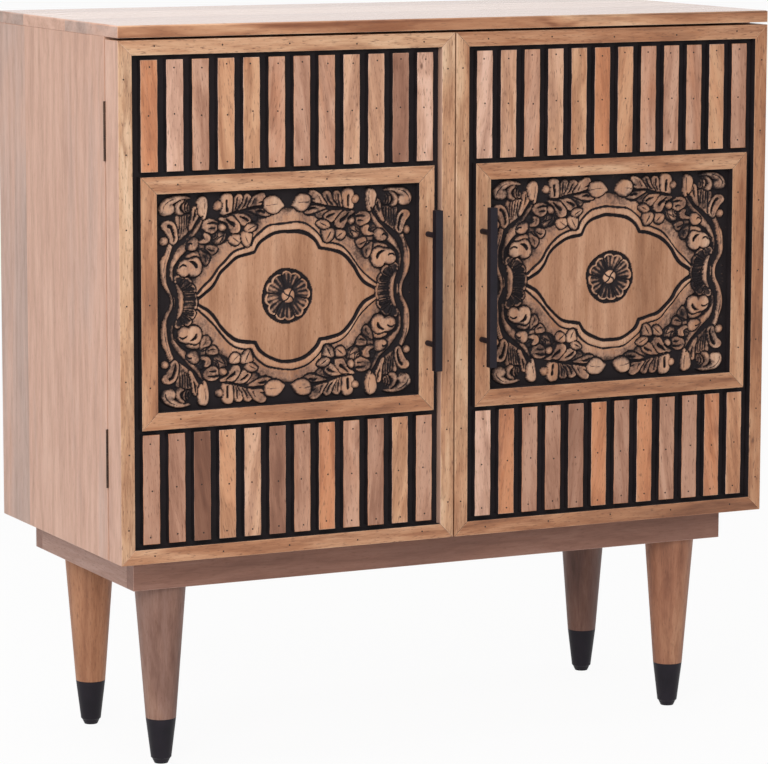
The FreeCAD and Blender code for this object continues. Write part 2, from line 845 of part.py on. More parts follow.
def leaf(foot, tip, bend, half):
    """A leaf's outline: an arc from foot to tip and another back, on either side of its midrib."""
    foot, tip = vector(foot), vector(tip)
    run = tip - foot
    left = FreeCAD.Vector(-run.y, run.x, 0).normalize()
    middle = (foot + tip) / 2
    path = []
    for corner, reach in ((foot, bend + half), (tip, bend - half)):
        via = middle + left * reach
        path += [stretched((corner.x, corner.y)), Via(stretched((via.x, via.y)))]
    return path


def knob(centre, radius):
    """A round knob, as a leaf that is as wide as it is long."""
    x, z = centre
    return leaf((x - radius, z), (x + radius, z), 0, radius)


def scroll():
    path = []
    for corner, via in SCROLL:
        path += [stretched(corner), Via(stretched(via))]
    return path


def carve(panel, name, outlines, relief):
    """Raises outlines from the panel's ground."""
    sketch = attach(panel, name, "XZ")
    for path in outlines:
        add_outline(sketch, path)
    return pad(panel, sketch, mm.panel_housing + relief)


def mirror(panel, name, axis):
    """A mirror about an upright or a level line through the panel's middle."""
    feature = panel.newObject("PartDesign::Mirrored", f"{panel.Name}_{name}")
    feature.MirrorPlane = (panel.Group[0], [axis])
    return feature


def carve_leaves(panel):
    """Leaves, stems, knobs and scroll of one quarter, mirrored to all four, and a shell at each side."""
    quarter = [
        carve(panel, "under_knobs", [knob(*shape) for shape in UNDER_KNOBS], mm.under_leaf_relief),
        carve(panel, "front_knobs", [knob(*shape) for shape in FRONT_KNOBS], mm.leaf_relief),
        carve(panel, "scroll", [scroll()], mm.leaf_relief),
    ]
    layers = ((STEMS, mm.stem_relief), (UNDER_LEAVES, mm.under_leaf_relief), (FRONT_LEAVES, mm.leaf_relief))
    for layer, relief in layers:
        for name, leaves in layer.items():
            quarter.append(carve(panel, name, [leaf(*shape) for shape in leaves], relief))
    quarters = panel.newObject("PartDesign::MultiTransform", f"{panel.Name}_quarters")
    quarters.Originals = quarter
    quarters.Transformations = [
        mirror(panel, "left_to_right", "V_Axis"),
        mirror(panel, "top_to_bottom", "H_Axis"),
    ]
    panel.Tip = quarters
    shell = carve(panel, "shell", [leaf(*shape) for shape in SHELL], mm.shell_relief)
    shells = mirror(panel, "shells", "V_Axis")
    shells.Originals = [shell]
    panel.Tip = shells


def make_carving():
    """A panel carved in relief: a flat field with a rosette, in a moulding, a band and leaves."""
    panel = body("carving")
    half_x = panel_half_width + mm.panel_lap
    half_z = panel_half_height + mm.panel_lap
    ground = mm.panel_housing
    plate = add_outline(attach(panel, "plate", "XZ"), rectangle(-half_x, -half_z, half_x, half_z))
    pad(panel, plate, ground)
    band = add_outline(attach(panel, "band", "XZ"), cartouche(mm.band_width))
    pad(panel, band, ground + mm.band_relief)
    moulding = add_outline(attach(panel, "moulding", "XZ"), cartouche(mm.moulding_width))
    pad(panel, moulding, ground + mm.moulding_relief)
    field = attach(panel, "field", "XZ")
    bind(field, "AttachmentOffset.Base.z", ground + mm.field_relief)
    pocket(panel, add_outline(field, cartouche(as_size(0))), mm.moulding_relief, reverse=True)
    disc = add_circle(attach(panel, "rosette", "XZ"), (0, 0), mm.rosette_radius)
    pad(panel, disc, ground + mm.rosette_relief)
    button = add_circle(attach(panel, "button", "XZ"), (0, 0), mm.button_radius)
    pad(panel, button, ground + mm.button_relief)
    petal_reach = mm.rosette_radius - mm.petal_radius / 2
    petal_sketch = add_circle(attach(panel, "petal", "XZ"), (0, petal_reach), mm.petal_radius)
    petal = pad(panel, petal_sketch, ground + mm.rosette_relief)
    ring = panel.newObject("PartDesign::PolarPattern", "carving_petals")
    ring.Originals = [petal]
    ring.Axis = (petal_sketch, ["N_Axis"])
    ring.Angle = 360
    bind(ring, "Occurrences", mm.petal_count)
    panel.Tip = ring
    carve_leaves(panel)
    return panel


def make_carved_panel(carving, side):
    """The carving in its place on a door: it is the same on both, being even to left and right."""
    label = f"{SIDE_NAMES[side]}_door_carved_panel"
    panel = group(label, [carving])
    place(panel, door_middle_x * side, board_front + mm.panel_housing, door_middle_z)


def make_handle(side):
    """A square bar on two round posts, each tapped for a screw from inside the door."""
    label = f"{SIDE_NAMES[side]}_door_handle"
    handle = body(label)
    half_bar, half_length = mm.handle_bar / 2, mm.handle_length / 2
    bar = rectangle(-half_bar, -half_length, half_bar, half_length)
    pad(handle, add_outline(attach(handle, "bar", "XZ"), bar), mm.handle_bar, reverse=True)
    posts = attach(handle, "posts", "XZ")
    taps = attach(handle, "taps", "XZ")
    bind(taps, "AttachmentOffset.Base.z", -mm.handle_reach)
    for z in (-mm.post_spacing / 2, mm.post_spacing / 2):
        add_circle(posts, (0, z), mm.post_radius)
        add_circle(taps, (0, z), mm.screw_radius + mm.screw_clearance)
    pad(handle, posts, mm.handle_reach, reverse=True)
    pocket(handle, taps, mm.screw_in_post + mm.screw_clearance, reverse=True)
    place(handle, handle_x * side, face - mm.handle_reach, door_middle_z)
    keep(handle, label)
    screws = []
    for number, z in enumerate(post_heights):
        name = f"{label}_screw_{number}"
        x = handle_x * side
        shank_length = mm.screw_in_post + mm.board_recess + mm.board_thickness
        shank_foot = (x, face - mm.screw_in_post, z)
        shank = rod(f"{name}_shank", mm.screw_radius, shank_length, shank_foot, TO_BACK)
        head_foot = (x, board_back, z)
        head = rod(f"{name}_head", mm.screw_head_radius, mm.screw_head_height, head_foot, TO_BACK)
        screws.append(fuse(name, [shank, head]))
    group(f"{SIDE_NAMES[side]}_door_handle_screws", screws)


def make_leaf(name, side, z_start, first_knuckle, plate_y, head_radii):
    """One hinge leaf: a plate, and every other knuckle joined to it, bored and drilled."""
    plate_start = half_width - mm.leaf_clearance
    x_low = (plate_start - mm.leaf_width) if side == RIGHT else -plate_start
    plate = board(
        f"{name}_plate", (mm.leaf_width, mm.leaf_thickness, mm.hinge_length), (x_low, plate_y, z_start)
    )
    tab_length = axis_x - plate_start
    tab_x = plate_start if side == RIGHT else -axis_x
    parts = [plate]
    for index in range(first_knuckle, KNUCKLES, 2):
        z = z_start + (knuckle_length + mm.knuckle_gap) * index
        foot = (axis_x * side, hinge_y, z)
        parts.append(rod(f"{name}_knuckle_{index}", mm.knuckle_radius, knuckle_length, foot))
        lengths = (tab_length, mm.leaf_thickness, knuckle_length)
        parts.append(board(f"{name}_tab_{index}", lengths, (tab_x, plate_y, z)))
    tools = [
        rod(
            f"{name}_bore",
            mm.hinge_pin_radius + mm.hinge_pin_clearance,
            mm.hinge_length,
            (axis_x * side, hinge_y, z_start),
        )
    ]
    for number, z in enumerate(screw_places(z_start)):
        radii = [radius + mm.hinge_screw_clearance for radius in head_radii]
        foot = (screw_x * side, plate_y, z)
        tools.append(cone(f"{name}_countersink_{number}", *radii, mm.leaf_thickness, foot, TO_BACK))
    return cut(name, fuse(f"{name}_blank", parts), tools)


def make_leaf_screws(name, side, z_start, plate_y, head_radii, shank_y):
    """Three countersunk screws, their heads in the leaf and their shanks in the wood."""
    screws = []
    for number, z in enumerate(screw_places(z_start)):
        head_foot = (screw_x * side, plate_y, z)
        head = cone(f"{name}_head_{number}", *head_radii, mm.leaf_thickness, head_foot, TO_BACK)
        length = mm.hinge_screw_length - mm.hinge_screw_clearance
        shank_foot = (screw_x * side, shank_y, z)
        shank = rod(f"{name}_shank_{number}", mm.hinge_screw_radius, length, shank_foot, TO_BACK)
        screws.append(fuse(f"{name}_{number}", [head, shank]))
    return screws


def make_hinges():
    """Two butt hinges on each door, their knuckles standing just outside the case."""
    case_leaves, case_screws, pins = [], [], []
    case_leaf_y = hinge_y + leaf_gap
    case_heads = (mm.hinge_screw_head, mm.hinge_screw_radius)
    door_heads = (mm.hinge_screw_radius, mm.hinge_screw_head)
    door_shank_y = door_back - mm.hinge_screw_length + mm.hinge_screw_clearance
    for side in (LEFT, RIGHT):
        door_leaves, door_screws = [], []
        for row, z in (("upper", upper_hinge_z), ("lower", lower_hinge_z)):
            name = f"{SIDE_NAMES[side]}_{row}_hinge"
            case_leaves.append(make_leaf(f"{name}_case_leaf", side, z, 0, case_leaf_y, case_heads))
            door_leaves.append(make_leaf(f"{name}_door_leaf", side, z, 1, door_back, door_heads))
            case_screws += make_leaf_screws(
                f"{name}_case_screw", side, z, case_leaf_y, case_heads, case_front
            )
            door_screws += make_leaf_screws(
                f"{name}_door_screw", side, z, door_back, door_heads, door_shank_y
            )
            foot = (axis_x * side, hinge_y, z)
            pins.append(rod(f"{name}_pin", mm.hinge_pin_radius, mm.hinge_length, foot))
        group(f"{SIDE_NAMES[side]}_door_hinge_leaves", door_leaves)
        group(f"{SIDE_NAMES[side]}_door_hinge_screws", door_screws)
    group("case_hinge_leaves", case_leaves)
    group("case_hinge_screws", case_screws)
    group("hinge_pins", pins)


def make_catch():
    """A double magnetic catch under the top, and the small plate on each door that it holds."""
    label = "door_catch"
    catch_y = door_back + mm.strike_thickness + mm.catch_clearance
    lengths = (mm.catch_length, mm.catch_depth, mm.catch_height)
    keep(board(label, lengths, (-mm.catch_length / 2, catch_y, case_top - mm.catch_height)), label)
    for side in (LEFT, RIGHT):
        label = f"{SIDE_NAMES[side]}_door_strike_plate"
        start = seam_half + mm.strike_inset
        x = start if side == RIGHT else -start - mm.strike_width
        lengths = (mm.strike_width, mm.strike_thickness, mm.strike_height)
        keep(board(label, lengths, (x, door_back, door_top - mm.strike_inset - mm.strike_height)), label)


def main():
    make_case()
    make_base()
    make_legs()
    carving = make_carving()
    for side in (LEFT, RIGHT):
        make_door_frame(side)
        make_board(side)
        make_slats(side)
        make_panel_frame(side)
        make_carved_panel(carving, side)
        make_handle(side)
    make_hinges()
    make_catch()
    doc.recompute()
    for item in doc.Objects:
        if "Invalid" in item.State or "Error" in item.State:
            raise RuntimeError(f"{item.Label} did not build")
    for piece in pieces:
        if piece.Shape.isNull() or not piece.Shape.isValid():
            raise RuntimeError(f"{piece.Label} has no sound shape")
    os.makedirs("parts", exist_ok=True)
    for piece in pieces:
        piece.Shape.exportStep(f"parts/{piece.Label}.step")
    print(len(pieces), "pieces,", sum(len(piece.Shape.Solids) for piece in pieces), "solids")


main()
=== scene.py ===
"""Looks of a carved two-door cabinet in oiled mango wood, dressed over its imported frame."""

import json
import math
import random

import bmesh
import bpy
import numpy as np
from mathutils import Matrix, Vector

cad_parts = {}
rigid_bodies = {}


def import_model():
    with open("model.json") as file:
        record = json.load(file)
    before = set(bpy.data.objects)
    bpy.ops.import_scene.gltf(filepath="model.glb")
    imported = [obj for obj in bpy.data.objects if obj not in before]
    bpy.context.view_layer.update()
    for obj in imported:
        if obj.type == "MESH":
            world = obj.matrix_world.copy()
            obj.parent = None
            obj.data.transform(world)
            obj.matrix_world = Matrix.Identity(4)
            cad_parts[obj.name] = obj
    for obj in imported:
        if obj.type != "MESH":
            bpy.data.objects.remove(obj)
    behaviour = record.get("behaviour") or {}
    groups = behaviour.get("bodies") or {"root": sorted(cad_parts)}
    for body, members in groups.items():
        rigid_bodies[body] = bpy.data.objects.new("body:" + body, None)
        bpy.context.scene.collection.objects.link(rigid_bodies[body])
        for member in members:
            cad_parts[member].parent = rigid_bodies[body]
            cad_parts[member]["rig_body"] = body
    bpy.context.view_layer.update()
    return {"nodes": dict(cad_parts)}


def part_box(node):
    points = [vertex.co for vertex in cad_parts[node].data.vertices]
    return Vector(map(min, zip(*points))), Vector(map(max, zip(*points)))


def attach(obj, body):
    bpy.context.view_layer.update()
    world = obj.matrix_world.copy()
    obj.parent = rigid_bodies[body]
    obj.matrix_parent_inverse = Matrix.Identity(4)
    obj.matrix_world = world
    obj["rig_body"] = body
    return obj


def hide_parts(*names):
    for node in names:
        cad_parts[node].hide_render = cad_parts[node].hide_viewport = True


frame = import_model()
nodes = frame["nodes"]
scene = bpy.context.scene

MM = 0.001
chance = random.Random(23)
SIDES = ("left", "right")


def linear(hex_colour):
    """An sRGB hex value as linear red, green, blue and alpha."""
    channels = [int(hex_colour[place:place + 2], 16) / 255 for place in (1, 3, 5)]
    bent = [c / 12.92 if c <= 0.04045 else ((c + 0.055) / 1.055) ** 2.4 for c in channels]
    return (*bent, 1.0)


def feed(tree, node, inputs):
    """Gives a node its inputs: each is a plain value, or the socket that it comes from."""
    for name, value in inputs.items():
        if isinstance(value, bpy.types.NodeSocket):
            tree.links.new(value, node.inputs[name])
        else:
            node.inputs[name].default_value = value


def add(tree, kind, inputs=None, stops=None, **settings):
    """Adds a node with its inputs and settings, and gives its outputs."""
    made = tree.nodes.new("ShaderNode" + kind)
    for name, value in settings.items():
        setattr(made, name, value)
    feed(tree, made, inputs or {})
    if stops:
        ramp = made.color_ramp.elements
        while len(ramp) < len(stops):
            ramp.new(0.5)
        for element, (place, colour) in zip(ramp, stops):
            element.position = place
            element.color = linear(colour)
    return made.outputs


def finish_named(name):
    """A new material with its tree and its surface shader."""
    material = bpy.data.materials.new(name)
    material.use_nodes = True
    return material, material.node_tree, material.node_tree.nodes["Principled BSDF"]


def per_metre(size_mm):
    """The scale of a pattern whose features are that many millimetres across."""
    return 1 / (size_mm * MM)


# length of the wave node's repeat at a scale of 1
WAVE_REPEAT = 0.314


def mango(name, palette, roughness=0.5, streak=0.5, figure=0.14, knots=0.5, flecks=0.55, drifting=1.1,
          drift_width=40, flame_width=7, turned=False):
    """Oiled mango: soft uneven figure, fine dark fibre and pores, and now and then a pin knot.

    The palette runs from the darkest board to the palest. Sawn pieces carry their own grain
    coordinates, with the fibre along the third one; turned ones have it straight up.
    """
    material, tree, shader = finish_named(name)
    if turned:
        place = add(tree, "TexCoord")["Object"]
        tone = 0.5
    else:
        place = add(tree, "Attribute", attribute_name="grain")["Vector"]
        tone = add(tree, "Attribute", attribute_name="tone")["Fac"]
    # each pattern is drawn out along the fibre
    fibre_place, pore_place, ring_place, knot_place = [
        add(tree, "Mapping", {"Vector": place, "Scale": drawn_out})[0]
        for drawn_out in ((1, 1, 0.07), (1, 1, 0.17), (1, 1, 0.14), (1, 0.1, 0.5))]

    # pin knots: dark round ends about 3 mm across, and the fibre that flows round them
    knot = add(tree, "TexVoronoi", {"Vector": knot_place, "Scale": per_metre(38)})
    chosen = add(tree, "SeparateColor", {"Color": knot["Color"]})[0]
    kept = add(tree, "Math", {0: chosen, 1: knots}, operation="LESS_THAN")[0]
    parts = []
    for most, full_at, none_at in ((0.85, 0.02, 0.075), (4, 0.03, 0.45)):
        near = add(tree, "MapRange", {"Value": knot["Distance"], "From Min": full_at,
                                      "From Max": none_at, "To Min": most, "To Max": 0},
                   interpolation_type="SMOOTHSTEP")[0]
        parts.append(add(tree, "Math", {0: near, 1: kept}, operation="MULTIPLY")[0])
    core, halo = parts

    # growth figure about 22 mm apart and much distorted, flames in it, fibre 2 mm wide, slow drift of tone
    rings = add(tree, "TexWave", {"Vector": ring_place, "Scale": WAVE_REPEAT * per_metre(22),
                                  "Distortion": 11, "Detail": 4, "Detail Scale": 1.3, "Detail Roughness": 0.6,
                                  "Phase Offset": halo},
                wave_type="RINGS", rings_direction="Z")["Fac"]
    flame, fibre, drift, pores = [
        add(tree, "TexNoise", {"Vector": at, "Scale": per_metre(size), "Detail": detail, "Roughness": rough,
                               "Distortion": bend})["Fac"]
        for at, size, detail, rough, bend in (
            (ring_place, flame_width, 5, 0.6, 0.6), (fibre_place, 2, 4, 0.65, 0),
            (ring_place, drift_width, 3, 0.5, 0.8), (pore_place, 1.5, 2, 0.5, 0))]

    board = add(tree, "Math", {0: drift, 1: drifting, 2: -drifting / 2}, operation="MULTIPLY_ADD")[0]
    board = add(tree, "Math", {0: board, 1: tone}, operation="ADD")[0]
    base = add(tree, "ValToRGB", {"Fac": board}, stops=palette)["Color"]
    mark = add(tree, "Math", {0: flame, 1: 0.5}, operation="MULTIPLY")[0]
    mark = add(tree, "Math", {0: rings, 1: figure, 2: mark}, operation="MULTIPLY_ADD")[0]
    mark = add(tree, "Math", {0: fibre, 1: 0.5 - figure, 2: mark}, operation="MULTIPLY_ADD")[0]
    shade = add(tree, "ValToRGB", {"Fac": mark},
                stops=[(0.32, "#a98a76"), (0.5, "#e9ddd5"), (0.62, "#ffffff")])["Color"]
    grained = add(tree, "Mix", {0: streak, 6: base, 7: shade}, data_type="RGBA", blend_type="MULTIPLY")[2]
    # open pores are finer than a pixel here, so they are drawn as dashes about 1.5 mm wide and 9 mm long
    fleck = add(tree, "MapRange", {"Value": pores, "From Min": 0.58, "From Max": 0.74, "To Max": flecks})[0]
    fleck = add(tree, "Math", {0: fleck, 1: core}, operation="MAXIMUM")[0]
    colour = add(tree, "Mix", {0: fleck, 6: grained, 7: linear("#6b4633")}, data_type="RGBA")[2]
    gloss = add(tree, "MapRange", {"Value": fibre, "From Min": 0.3, "From Max": 0.7,
                                   "To Min": roughness + 0.08, "To Max": roughness - 0.06})[0]
    bump = add(tree, "Bump", {"Height": mark, "Strength": 0.25, "Distance": 0.25 * MM})[0]
    feed(tree, shader, {"Base Color": colour, "Roughness": gloss, "Normal": bump, "IOR": 1.48})
    return material, tree, shader, colour


# Oiled mango, planed and sanded: warm tan with pinkish drift, a soft satin sheen, fine brown fibre.
FRONT_TONES = [(0, "#94664a"), (0.3, "#b98460"), (0.55, "#cc9c79"), (0.8, "#d5ab88"), (1, "#dfbc9c")]
CARVED_TONES = [(0, "#8e634b"), (0.35, "#b48668"), (0.6, "#c7997b"), (1, "#d9b397")]
SIDE_TONES = [(0, "#b89d91"), (0.35, "#cfae9f"), (0.6, "#d9ae98"), (1, "#deb49e")]
# the top is paler and greyer than the sides' wood: a painted sheen on its top face
TOP_TONES_PAINTED_SHEEN = [(0, "#cdb5ab"), (0.5, "#dcc2b6"), (1, "#e6cec2")]
EDGE_TONES = [(0, "#96603f"), (0.35, "#bf8a66"), (0.65, "#d3a27d"), (1, "#e0b894")]
BASE_TONES = [(0, "#6b4a3f"), (0.3, "#8f6757"), (0.6, "#b08b7d"), (1, "#c4a193")]
# each leg is of another tree: grey-brown, orange-brown, tan and dark brown
LEG_TONES = {
    "front_left": [(0, "#765549"), (0.5, "#906e61"), (1, "#a98573")],
    "front_right": [(0, "#87573f"), (0.5, "#a87458"), (1, "#c08f6e")],
    "back_left": [(0, "#a06c4d"), (0.5, "#bd8865"), (1, "#cf9f7c")],
    "back_right": [(0, "#563a32"), (0.5, "#6e4e44"), (1, "#886558")],
}
SLAT_TONES = [(0, "#825742"), (0.22, "#b0836c"), (0.42, "#c99c83"), (0.6, "#cc8a62"),
              (0.78, "#d1a17d"), (1, "#e1b8a2")]
INNER_TONES = [(0, "#b98d6f"), (0.5, "#cba283"), (1, "#d8b597")]
front_mango = mango("oiled_mango_fronts", FRONT_TONES, streak=0.8, flecks=0.9, drifting=1.5,
                    drift_width=28)[0]
side_mango = mango("oiled_mango_sides", SIDE_TONES, roughness=0.42, figure=0.1, knots=0.06,
                   flecks=0.2, drifting=1.3, drift_width=60, flame_width=20)[0]
# the top's wood, made paler for a painted sheen
top_mango_painted_sheen = mango("oiled_mango_top", TOP_TONES_PAINTED_SHEEN, roughness=0.24, streak=0.3, figure=0.05, knots=0.06,
                  flecks=0.16)[0]
edge_mango = mango("oiled_mango_top_edge", EDGE_TONES, streak=0.75, figure=0.2, drifting=2.6)[0]
base_mango = mango("oiled_mango_base", BASE_TONES, knots=0.2, drifting=0.6)[0]
slat_mango = mango("mixed_mango_offcuts", SLAT_TONES, roughness=0.55, streak=0.66, figure=0.22, knots=0.4,
                   flecks=0.75, drifting=0.3, drift_width=24)[0]
leg_mangoes = {leg: mango(f"turned_mango_{leg}", tones, streak=0.7, knots=0.1, drifting=1.8, turned=True)[0]
               for leg, tones in LEG_TONES.items()}
inner_mango = mango("sanded_mango_inside", INNER_TONES, roughness=0.62, knots=0.2)[0]


def plain(name, colour, worn, roughness, grit, metallic=0.0, bump=0.05, sheen=0.5):
    """An even coat or metal, broken up by grit of that many millimetres in tone, gloss and bump."""
    material, tree, shader = finish_named(name)
    place = add(tree, "TexCoord")["Object"]
    fine = add(tree, "TexNoise", {"Vector": place, "Scale": per_metre(grit), "Detail": 3})["Fac"]
    slow = add(tree, "TexNoise", {"Vector": place, "Scale": per_metre(grit * 18), "Detail": 4})["Fac"]
    mixed = add(tree, "Math", {0: fine, 1: 0.4, 2: slow}, operation="MULTIPLY_ADD")[0]
    tint = add(tree, "ValToRGB", {"Fac": mixed}, stops=[(0.5, colour), (0.95, worn)])["Color"]
    gloss = add(tree, "MapRange", {"Value": mixed, "From Min": 0.4,
                                   "To Min": roughness - 0.07, "To Max": roughness + 0.09})[0]
    relief = add(tree, "Bump", {"Height": fine, "Strength": bump, "Distance": 0.3 * MM})[0]
    feed(tree, shader, {"Base Color": tint, "Roughness": gloss, "Normal": relief, "Metallic": metallic,
                        "Specular IOR Level": sheen})
    return material


# Board stained black by brush: dead flat black, slightly brown where the coat is thin.
black_board = plain("black_stained_board", "#1a1416", "#2b2225", 0.75, 1.5, sheen=0.3)
# Powder-coated steel: near-black satin with a faint orange peel of about 1.5 mm.
black_steel = plain("black_powder_coat", "#17131a", "#231e26", 0.5, 1.5, bump=0.12, sheen=0.2)
# Blackened hinge steel: dark, rubbed to brown on the knuckles.
hinge_steel = plain("blackened_hinge_steel", "#2a2220", "#5b4436", 0.45, 1.2, metallic=0.7)
# Zinc-plated steel of screws, pins and bolts: cold grey with a soft gloss.
zinc_steel = plain("zinc_plated_steel", "#9da0a3", "#c0c2c4", 0.32, 0.8, metallic=1.0)
# Moulded catch body: dark grey-brown nylon with a fine matt grain.
catch_nylon = plain("moulded_nylon", "#3a2c24", "#4a3a30", 0.55, 0.8)
# Heads of small wire nails: dark iron set just under the oil.
nail_iron = plain("wire_nail_iron", "#241813", "#3a2a22", 0.6, 0.6, metallic=0.3)


def carved_finish():
    """Carved mango washed with black and wiped: bare wood on the high places, black in the cuts."""
    material, tree, shader, colour = mango("carved_mango_black_wash", CARVED_TONES, roughness=0.52, knots=0.0,
                                           drifting=1.6)
    stain = add(tree, "Attribute", attribute_name="stain")["Fac"]
    place = add(tree, "TexCoord")["Object"]
    rub = add(tree, "TexNoise",
              {"Vector": place, "Scale": per_metre(5), "Detail": 6, "Roughness": 0.75})["Fac"]
    cloud = add(tree, "TexNoise", {"Vector": place, "Scale": per_metre(26), "Detail": 3})["Fac"]
    ragged = add(tree, "Math", {0: cloud, 1: -1.05}, operation="ADD")[0]
    ragged = add(tree, "Math", {0: rub, 1: 1.1, 2: ragged}, operation="MULTIPLY_ADD")[0]
    # the wash hardly takes on the smooth field, and is uneven wherever it took
    took = add(tree, "MapRange", {"Value": stain, "From Max": 0.14, "To Min": 0.2})[0]
    ragged = add(tree, "Math", {0: ragged, 1: took, 2: stain}, operation="MULTIPLY_ADD")[0]
    cover = add(tree, "MapRange", {"Value": ragged, "From Min": 0.08, "From Max": 0.74},
                interpolation_type="SMOOTHSTEP")[0]
    # thin wash is grey over the wood, and thick wash is black
    black = add(tree, "ValToRGB", {"Fac": cover},
                stops=[(0.15, "#746869"), (0.6, "#463c3c"), (1, "#211b1d")])["Color"]
    both = add(tree, "Mix", {0: cover, 6: colour, 7: black}, data_type="RGBA")[2]
    # and takes the oil's gloss away
    gloss = shader.inputs["Roughness"].links[0].from_socket
    dull = add(tree, "Math", {0: cover, 1: 0.2, 2: gloss}, operation="MULTIPLY_ADD")[0]
    feed(tree, shader, {"Base Color": both, "Roughness": dull, "Specular IOR Level": 0.2})
    return material


carved_mango = carved_finish()


def clad(name, finish):
    """Gives a CAD node's own mesh a finish."""
    nodes[name].data.materials.clear()
    nodes[name].data.materials.append(finish)


def piece(name, mesh, body, finish):
    """A new object of a mesh that rides on a body."""
    made = bpy.data.objects.new(name, mesh)
    scene.collection.objects.link(made)
    mesh.materials.append(finish)
    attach(made, body)
    return made


def islands_of(work):
    """The faces of each loose solid of a mesh."""
    left = set(work.faces)
    found = []
    while left:
        start = left.pop()
        island, edge_of_it = [start], [start]
        while edge_of_it:
            face = edge_of_it.pop()
            for side in face.edges:
                for other in side.link_faces:
                    if other in left:
                        left.remove(other)
                        island.append(other)
                        edge_of_it.append(other)
        found.append(island)
    return sorted(found, key=lambda faces: min(f.calc_center_median().x for f in faces))


def saw(work, step, uneven):
    """Cuts upright pieces every step and moves their edges in and out a little, as a hand saw does."""
    heights = [v.co.z for v in work.verts]
    for level in np.arange(min(heights) + step * MM, max(heights) - step * MM / 2, step * MM):
        bmesh.ops.bisect_plane(work, geom=[*work.verts, *work.edges, *work.faces],
                               plane_co=(0, 0, level), plane_no=(0, 0, 1))
    for island in islands_of(work):
        corners = {v for face in island for v in face.verts}
        middle = sum(v.co.x for v in corners) / len(corners)
        starts = {True: chance.uniform(0, 9), False: chance.uniform(0, 9)}
        for corner in corners:
            right = corner.co.x > middle
            turn = corner.co.z / MM / 9 + starts[right]
            corner.co.x += uneven * MM * (math.sin(turn) + 0.6 * math.sin(2.3 * turn))


SAW_STEP = 11
LEAST_ARRIS, SHARP = 5 * MM, math.radians(35)
ARRIS_PALER = 0.3


def eased(name, finish, along, rounding=0.6, joints=(), tones=(0.35, 0.65), chosen=None, others=(),
          uneven=0, tilt=0):
    """A piece in the shape of a CAD node, with its long edges eased and a grain for each board.

    The boards of a glued-up piece meet at the joints, which are places in mm from front to back.
    Chosen tones go to the boards in turn, and an upright grain may lean by up to tilt degrees.
    Others holds pairs of another finish, such as black paint, and the test for its faces.
    """
    source = nodes[name]
    work = bmesh.new()
    work.from_mesh(source.data)
    bmesh.ops.remove_doubles(work, verts=work.verts, dist=0.002 * MM)
    bmesh.ops.dissolve_limit(work, angle_limit=math.radians(1), verts=work.verts, edges=work.edges)
    if uneven:
        saw(work, SAW_STEP, uneven)
    arrises = [e for e in work.edges if e.is_manifold and e.is_convex and e.calc_length() > LEAST_ARRIS
               and e.calc_face_angle() > SHARP]
    bmesh.ops.bevel(work, geom=arrises, offset=rounding * MM, segments=2, profile=0.5, affect="EDGES",
                    clamp_overlap=False)
    for joint in joints:
        bmesh.ops.bisect_plane(work, geom=[*work.verts, *work.edges, *work.faces],
                               plane_co=(0, joint * MM, 0), plane_no=(0, 1, 0))
    work.normal_update()
    fibre = "XYZ".index(along)
    order = [axis for axis in range(3) if axis != fibre] + [fibre]
    grain = work.loops.layers.float_vector.new("grain")
    tone = work.faces.layers.float.new("tone")
    for number, island in enumerate(islands_of(work)):
        boards = {}
        for face in island:
            board = sum(face.calc_center_median().y > joint * MM for joint in joints)
            boards.setdefault(board, []).append(face)
        for board in sorted(boards):
            level = chance.uniform(*tones) if chosen is None else chosen[number + board]
            # the heart of the tree lies 30 to 90 mm behind the board, and its own length along it
            shift = (chance.uniform(-60, 60) * MM, chance.uniform(30, 90) * MM, chance.uniform(-3, 3))
            lean = math.radians(chance.uniform(-tilt, tilt))
            corners = [v.co for face in boards[board] for v in face.verts]
            centre = [(min(c[a] for c in corners) + max(c[a] for c in corners)) / 2 for a in range(3)]
            for face in boards[board]:
                # an eased arris is sanded paler
                face[tone] = level + (ARRIS_PALER if max(map(abs, face.normal)) < 0.95 else 0)
                for loop in face.loops:
                    wide, deep, high = [loop.vert.co[a] - centre[a] for a in order]
                    place = (wide * math.cos(lean) - high * math.sin(lean), deep,
                             wide * math.sin(lean) + high * math.cos(lean))
                    loop[grain] = [p + s for p, s in zip(place, shift)]
    for face in work.faces:
        face.material_index = next((n for n, (_, test) in enumerate(others, 1) if test(face)), 0)
    mesh = bpy.data.meshes.new(name + "_wood")
    work.to_mesh(mesh)
    work.free()
    made = piece(name + "_wood", mesh, source["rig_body"], finish)
    for other, _ in others:
        mesh.materials.append(other)
    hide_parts(name)
    return made


# The case: a top and sides glued up from boards, and what shows inside when the doors stand open.
eased("top_panel", top_mango_painted_sheen, "X", rounding=0.8, joints=(-90, -16, 80, 126),
      chosen=(0.3, 0.2, 0.8, 0.72, 0.1),
      others=((edge_mango, lambda face: face.normal.y < -0.5),
              (side_mango, lambda face: abs(face.normal.x) > 0.5)))
for side in SIDES:
    eased(f"{side}_side_panel", side_mango, "Z", joints=(-8, 122), chosen=(0.6, 0.75, 0.3))
eased("bottom_panel", inner_mango, "X", joints=(-20, 95))
eased("shelf", inner_mango, "X", joints=(-10, 100))
eased("back_panel", inner_mango, "Z", rounding=0.3)

# The base under the case.
for rail, along, tone in (("front", "X", 0.3), ("back", "X", 0.45), ("left", "Y", 0.68), ("right", "Y", 0.4)):
    eased(f"base_{rail}_rail", base_mango, along, chosen=(tone,))
eased("base_corner_blocks", base_mango, "Z")
for leg, leg_mango in leg_mangoes.items():
    clad(leg + "_leg", leg_mango)
    clad(leg + "_leg_cap", black_steel)

